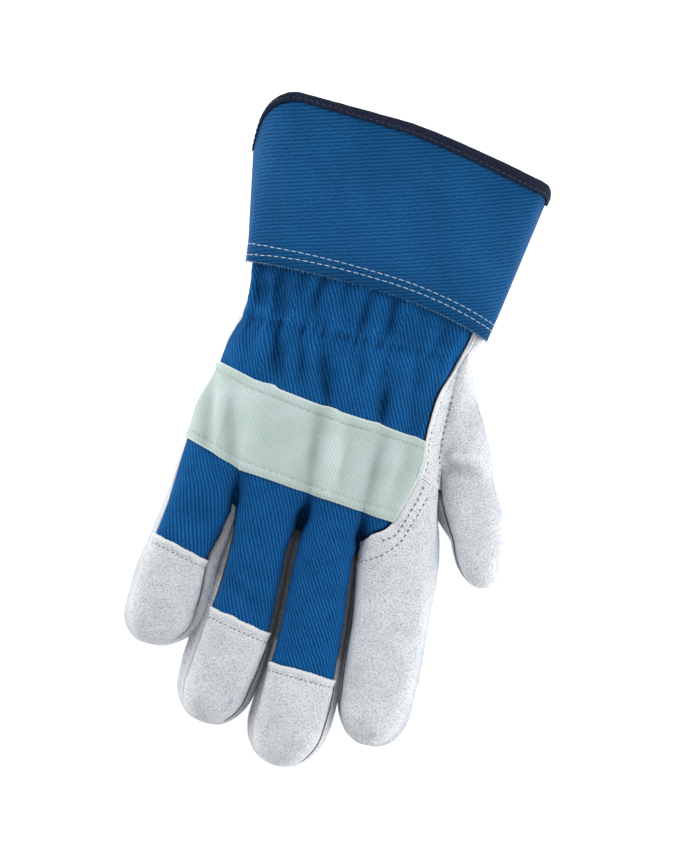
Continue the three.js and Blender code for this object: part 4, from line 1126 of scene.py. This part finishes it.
def sew_line(name, surface, path, stitch, finish):
    """Sews along lines that lie on a surface."""
    pitch, gap, thick = stitch
    stitches = bmesh.new()
    for line in path:
        walked, left = 0.0, pitch - gap
        placed = []
        for p, q in zip(line, line[1:]):
            placed.append((walked, p, q))
            walked += (q - p).length
        for i in range(int(walked / pitch)):
            ends = []
            for at in (i * pitch + gap / 2, (i + 1) * pitch - gap / 2):
                start, p, q = [item for item in placed if item[0] <= at][-1]
                ends.append(p + (q - p).normalized() * (at - start))
            centre, normal, _, _ = surface.find_nearest((ends[0] + ends[1]) / 2)
            along = (ends[1] - ends[0]).normalized()
            across = normal.cross(along).normalized()
            up = along.cross(across)
            wobble = 0.12 * ripple(centre, 2.0, i * 0.37)
            axes = Matrix((along, across, up)).transposed().to_4x4()
            placing = Matrix.Translation(centre + up * thick * 0.12 + across * wobble) @ axes @ Matrix.Diagonal(
                ((pitch - gap) / 2, thick / 2, thick / 2, 1))
            bmesh.ops.create_uvsphere(stitches, u_segments=6, v_segments=5, radius=1,
                                      matrix=placing @ Matrix.Rotation(math.pi / 2, 4, "Y"))
    finish_piece(name, stitches, finish, [])


def new_thread(name, dark, light):
    """Spun polyester: its twisted plies show as fine light and dark, 0.4 mm apart."""
    finish, tree, shader = new_finish(name, {"Roughness": 0.7})
    place = add_node(tree, "ShaderNodeTexCoord").outputs["Object"]
    plies = add_node(tree, "ShaderNodeTexNoise", {"Scale": 2600, "Detail": 2}, {"Vector": place})
    twist = add_node(tree, "ShaderNodeValToRGB", {"stops": [(0.3, dark), (0.7, light)]}, {"Fac": plies})
    tree.links.new(twist.outputs[0], shader.inputs["Base Color"])
    return finish


white_thread = new_thread("spun_thread_white", "#9db8d0", "#e0eaf4")
grey_thread = new_thread("spun_thread_dark_grey", "#3a3d42", "#6d7074")
green_thread = new_thread("spun_thread_green_grey", "#8b9a96", "#b5c2bc")
navy_thread = new_thread("spun_thread_navy", "#1c2438", "#48536e")
round_cuff = [math.tau * i / 360 for i in range(361)]
for row, place_name in enumerate(("lower", "upper")):
    line = [cuff_point(turn, hem_rows(turn)[row]) for turn in round_cuff]
    sew_line("cuff_stitches_" + place_name, cuff_surface, [line], cuff_stitch, white_thread)
tape_line = [on_cuff(turn, 1.3 - tape_width(turn), 1.3) for turn in round_cuff]
sew_line("tape_stitches", tape_surface, [tape_line], tape_stitch, navy_thread)
for tongue, row in cap_row.items():
    line = [back_point(tongue, row + 0.27, s) for s in steps(-0.94, 0.94, 20)]
    sew_line(tongue + "_cap_stitches", cap_surface[tongue], [line], cap_stitch, grey_thread)


def laid_on(surface, points):
    """Drops a line of points, in plan, on the top of a panel."""
    path = []
    for (x, y), (x2, y2) in zip(points, points[1:]):
        for t in steps(0, 1, 8)[:-1]:
            hit = surface.ray_cast(Vector((mix(x, x2, t), mix(y, y2, t), 80)), Vector((0, 0, -1)))[0]
            if hit:
                path.append(hit)
    return path


lap_rows = [
    [(36.3, -37.1), (41.4, -33.4), (43.5, -27.2), (46.7, -14.0), (47.4, -9)],
    [(30.3, -47.9), (37.6, -43.2), (42, -38.5), (44.7, -34.2), (45.9, -29.5), (48.4, -20.1), (50.8, -11.6)],
]
sew_line("index_lap_stitches", index_surface, [laid_on(index_surface, row) for row in lap_rows], lap_stitch,
         grey_thread)
# Further up, the band's stitches are sunk in the nap.
band_lines = []
for first_row, near, far, inset in ((3.7, seam_share, 1, band_rows[0]), (2.9, 1, seam_share, band_rows[1])):
    line = []
    for v in steps(first_row, thumb_crotch, 12):
        start, end = back_point("index", v, near), back_point("index", v, far)
        line.append(start + (end - start).normalized() * inset)
    band_lines.append(line)
sew_line("band_stitches", band_surface, band_lines, band_stitch, grey_thread)
strap_lines = []
for v in (4.22, 5.78):
    line = []
    for tongue in tongues:
        line += [back_point(tongue, v, s) for s in steps(-1, 1 if tongue != "index" else seam_share, 16)[1:]]
    strap_lines.append(line)
sew_line("strap_stitches", strap_surface, strap_lines, strap_stitch, green_thread)


def draw_threads(name, lines, thick, finish):
    """Threads as round curves. A line is a list of points in millimetres, each with its share of the
    thickness."""
    threads = bpy.data.curves.new(name, "CURVE")
    threads.dimensions = "3D"
    threads.bevel_depth = thick / 2 * 0.001
    threads.bevel_resolution = 1
    threads.use_fill_caps = True
    for line in lines:
        spline = threads.splines.new("POLY")
        spline.points.add(len(line) - 1)
        for point, (place, share) in zip(spline.points, line):
            point.co = (*(place * 0.001), 1)
            point.radius = share
    threads.materials.append(finish)
    piece = bpy.data.objects.new(name, threads)
    scene.collection.objects.link(piece)
    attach(piece, "root")


# The thread of the seams between the fingers can be seen here and there in their ridges.
seam_lines = []
for tongue, hand, start, end in (("little", 1, 8.9, 10.6), ("ring", 1, 10.1, 12.6), ("middle", 1, 11.1, 13.6),
                                 ("index", -1, 7.05, 12.3), ("thumb", -1, 5.05, 7.8)):
    proud = Vector((hand * 0.25, 0, 0.35))
    seam_lines.append([(side_point(tongue, v, hand, 0.03) + proud, 1) for v in steps(start, end, 12)])
draw_threads("inside_seam_threads", seam_lines, 0.38, grey_thread)


# Loose ends.
# Short broken yarns stand out of the cuff's raw lower edge and of the strap's cut end, where one longer
# yarn has pulled free.
def loose_yarns(name, roots, surfaces, longest, thick, finish):
    """Roots are pairs of a point and a direction. The yarns lie close over what is below them; the longest
    and their thickness are in millimetres."""
    chance = random.Random(11)
    lines = []
    for root, way in roots:
        length = longest * chance.uniform(0.3, 1)
        turn, bend = chance.gauss(0, 0.45), chance.gauss(0, 0.7)
        at = Vector(root)
        line = []
        for i in range(5):
            height = 0.12 + 0.25 * math.sin(math.pi * i / 4) * chance.random()
            below = [surface.ray_cast(Vector((at.x, at.y, 80)), Vector((0, 0, -1)))[0] for surface in surfaces]
            at.z = max([hit.z for hit in below if hit] + [root[2] - 0.5]) + height
            line.append((at.copy(), 1 - 0.15 * i))
            heading = Matrix.Rotation(turn + bend * i / 4, 3, "Z") @ way
            at += heading * length / 4
        lines.append(line)
    draw_threads(name, lines, thick, finish)


blue_yarn = new_thread("frayed_yarn_pale_blue", "#3f719f", "#8fb2d0")
edge_roots = []
for turn in [math.pi * i / 210 for i in range(4, 207)]:  # over the back only
    wander = 0.9 * ripple((turn * 40, 0, 0), 1.0, 3.0)
    root = cuff_point(turn + wander * 0.01, low_edge(across_cuff(turn)) + 0.25)
    edge_roots.append((root, Vector((0.5 * wander, -1, 0)).normalized()))
loose_yarns("cuff_selvedge_yarns", edge_roots, [back_surface, cuff_surface], 1.1, 0.2, blue_yarn)
end_roots = []
for v in steps(4.06, 5.94, 24):
    root = back_point("index", v, seam_share)
    root.z += 1.2
    end_roots.append((root, Vector((0.9, -0.35 + 0.5 * ripple((v * 9, 0, 0), 1.0), 0)).normalized()))
under_strap_end = [strap_surface, band_surface, index_surface]
loose_yarns("strap_end_yarns", end_roots, under_strap_end, 2.0, 0.24, strap_weave)
pulled_root = (Vector((43.4, -2.6, 28)), Vector((0.9, -0.4, 0)))
loose_yarns("strap_pulled_yarn", [pulled_root], under_strap_end, 9.0, 0.4, white_thread)


# Cross seam.
# The short seam between the index finger and the band is sewn closely in the same dark grey thread.
cross_seam = [laid_on(index_surface, [(45.4, -7.2), (47.2, -7.6), (50.6, -9.6)])]
sew_line("cross_seam_stitches", index_surface, cross_seam, close_stitch, grey_thread)
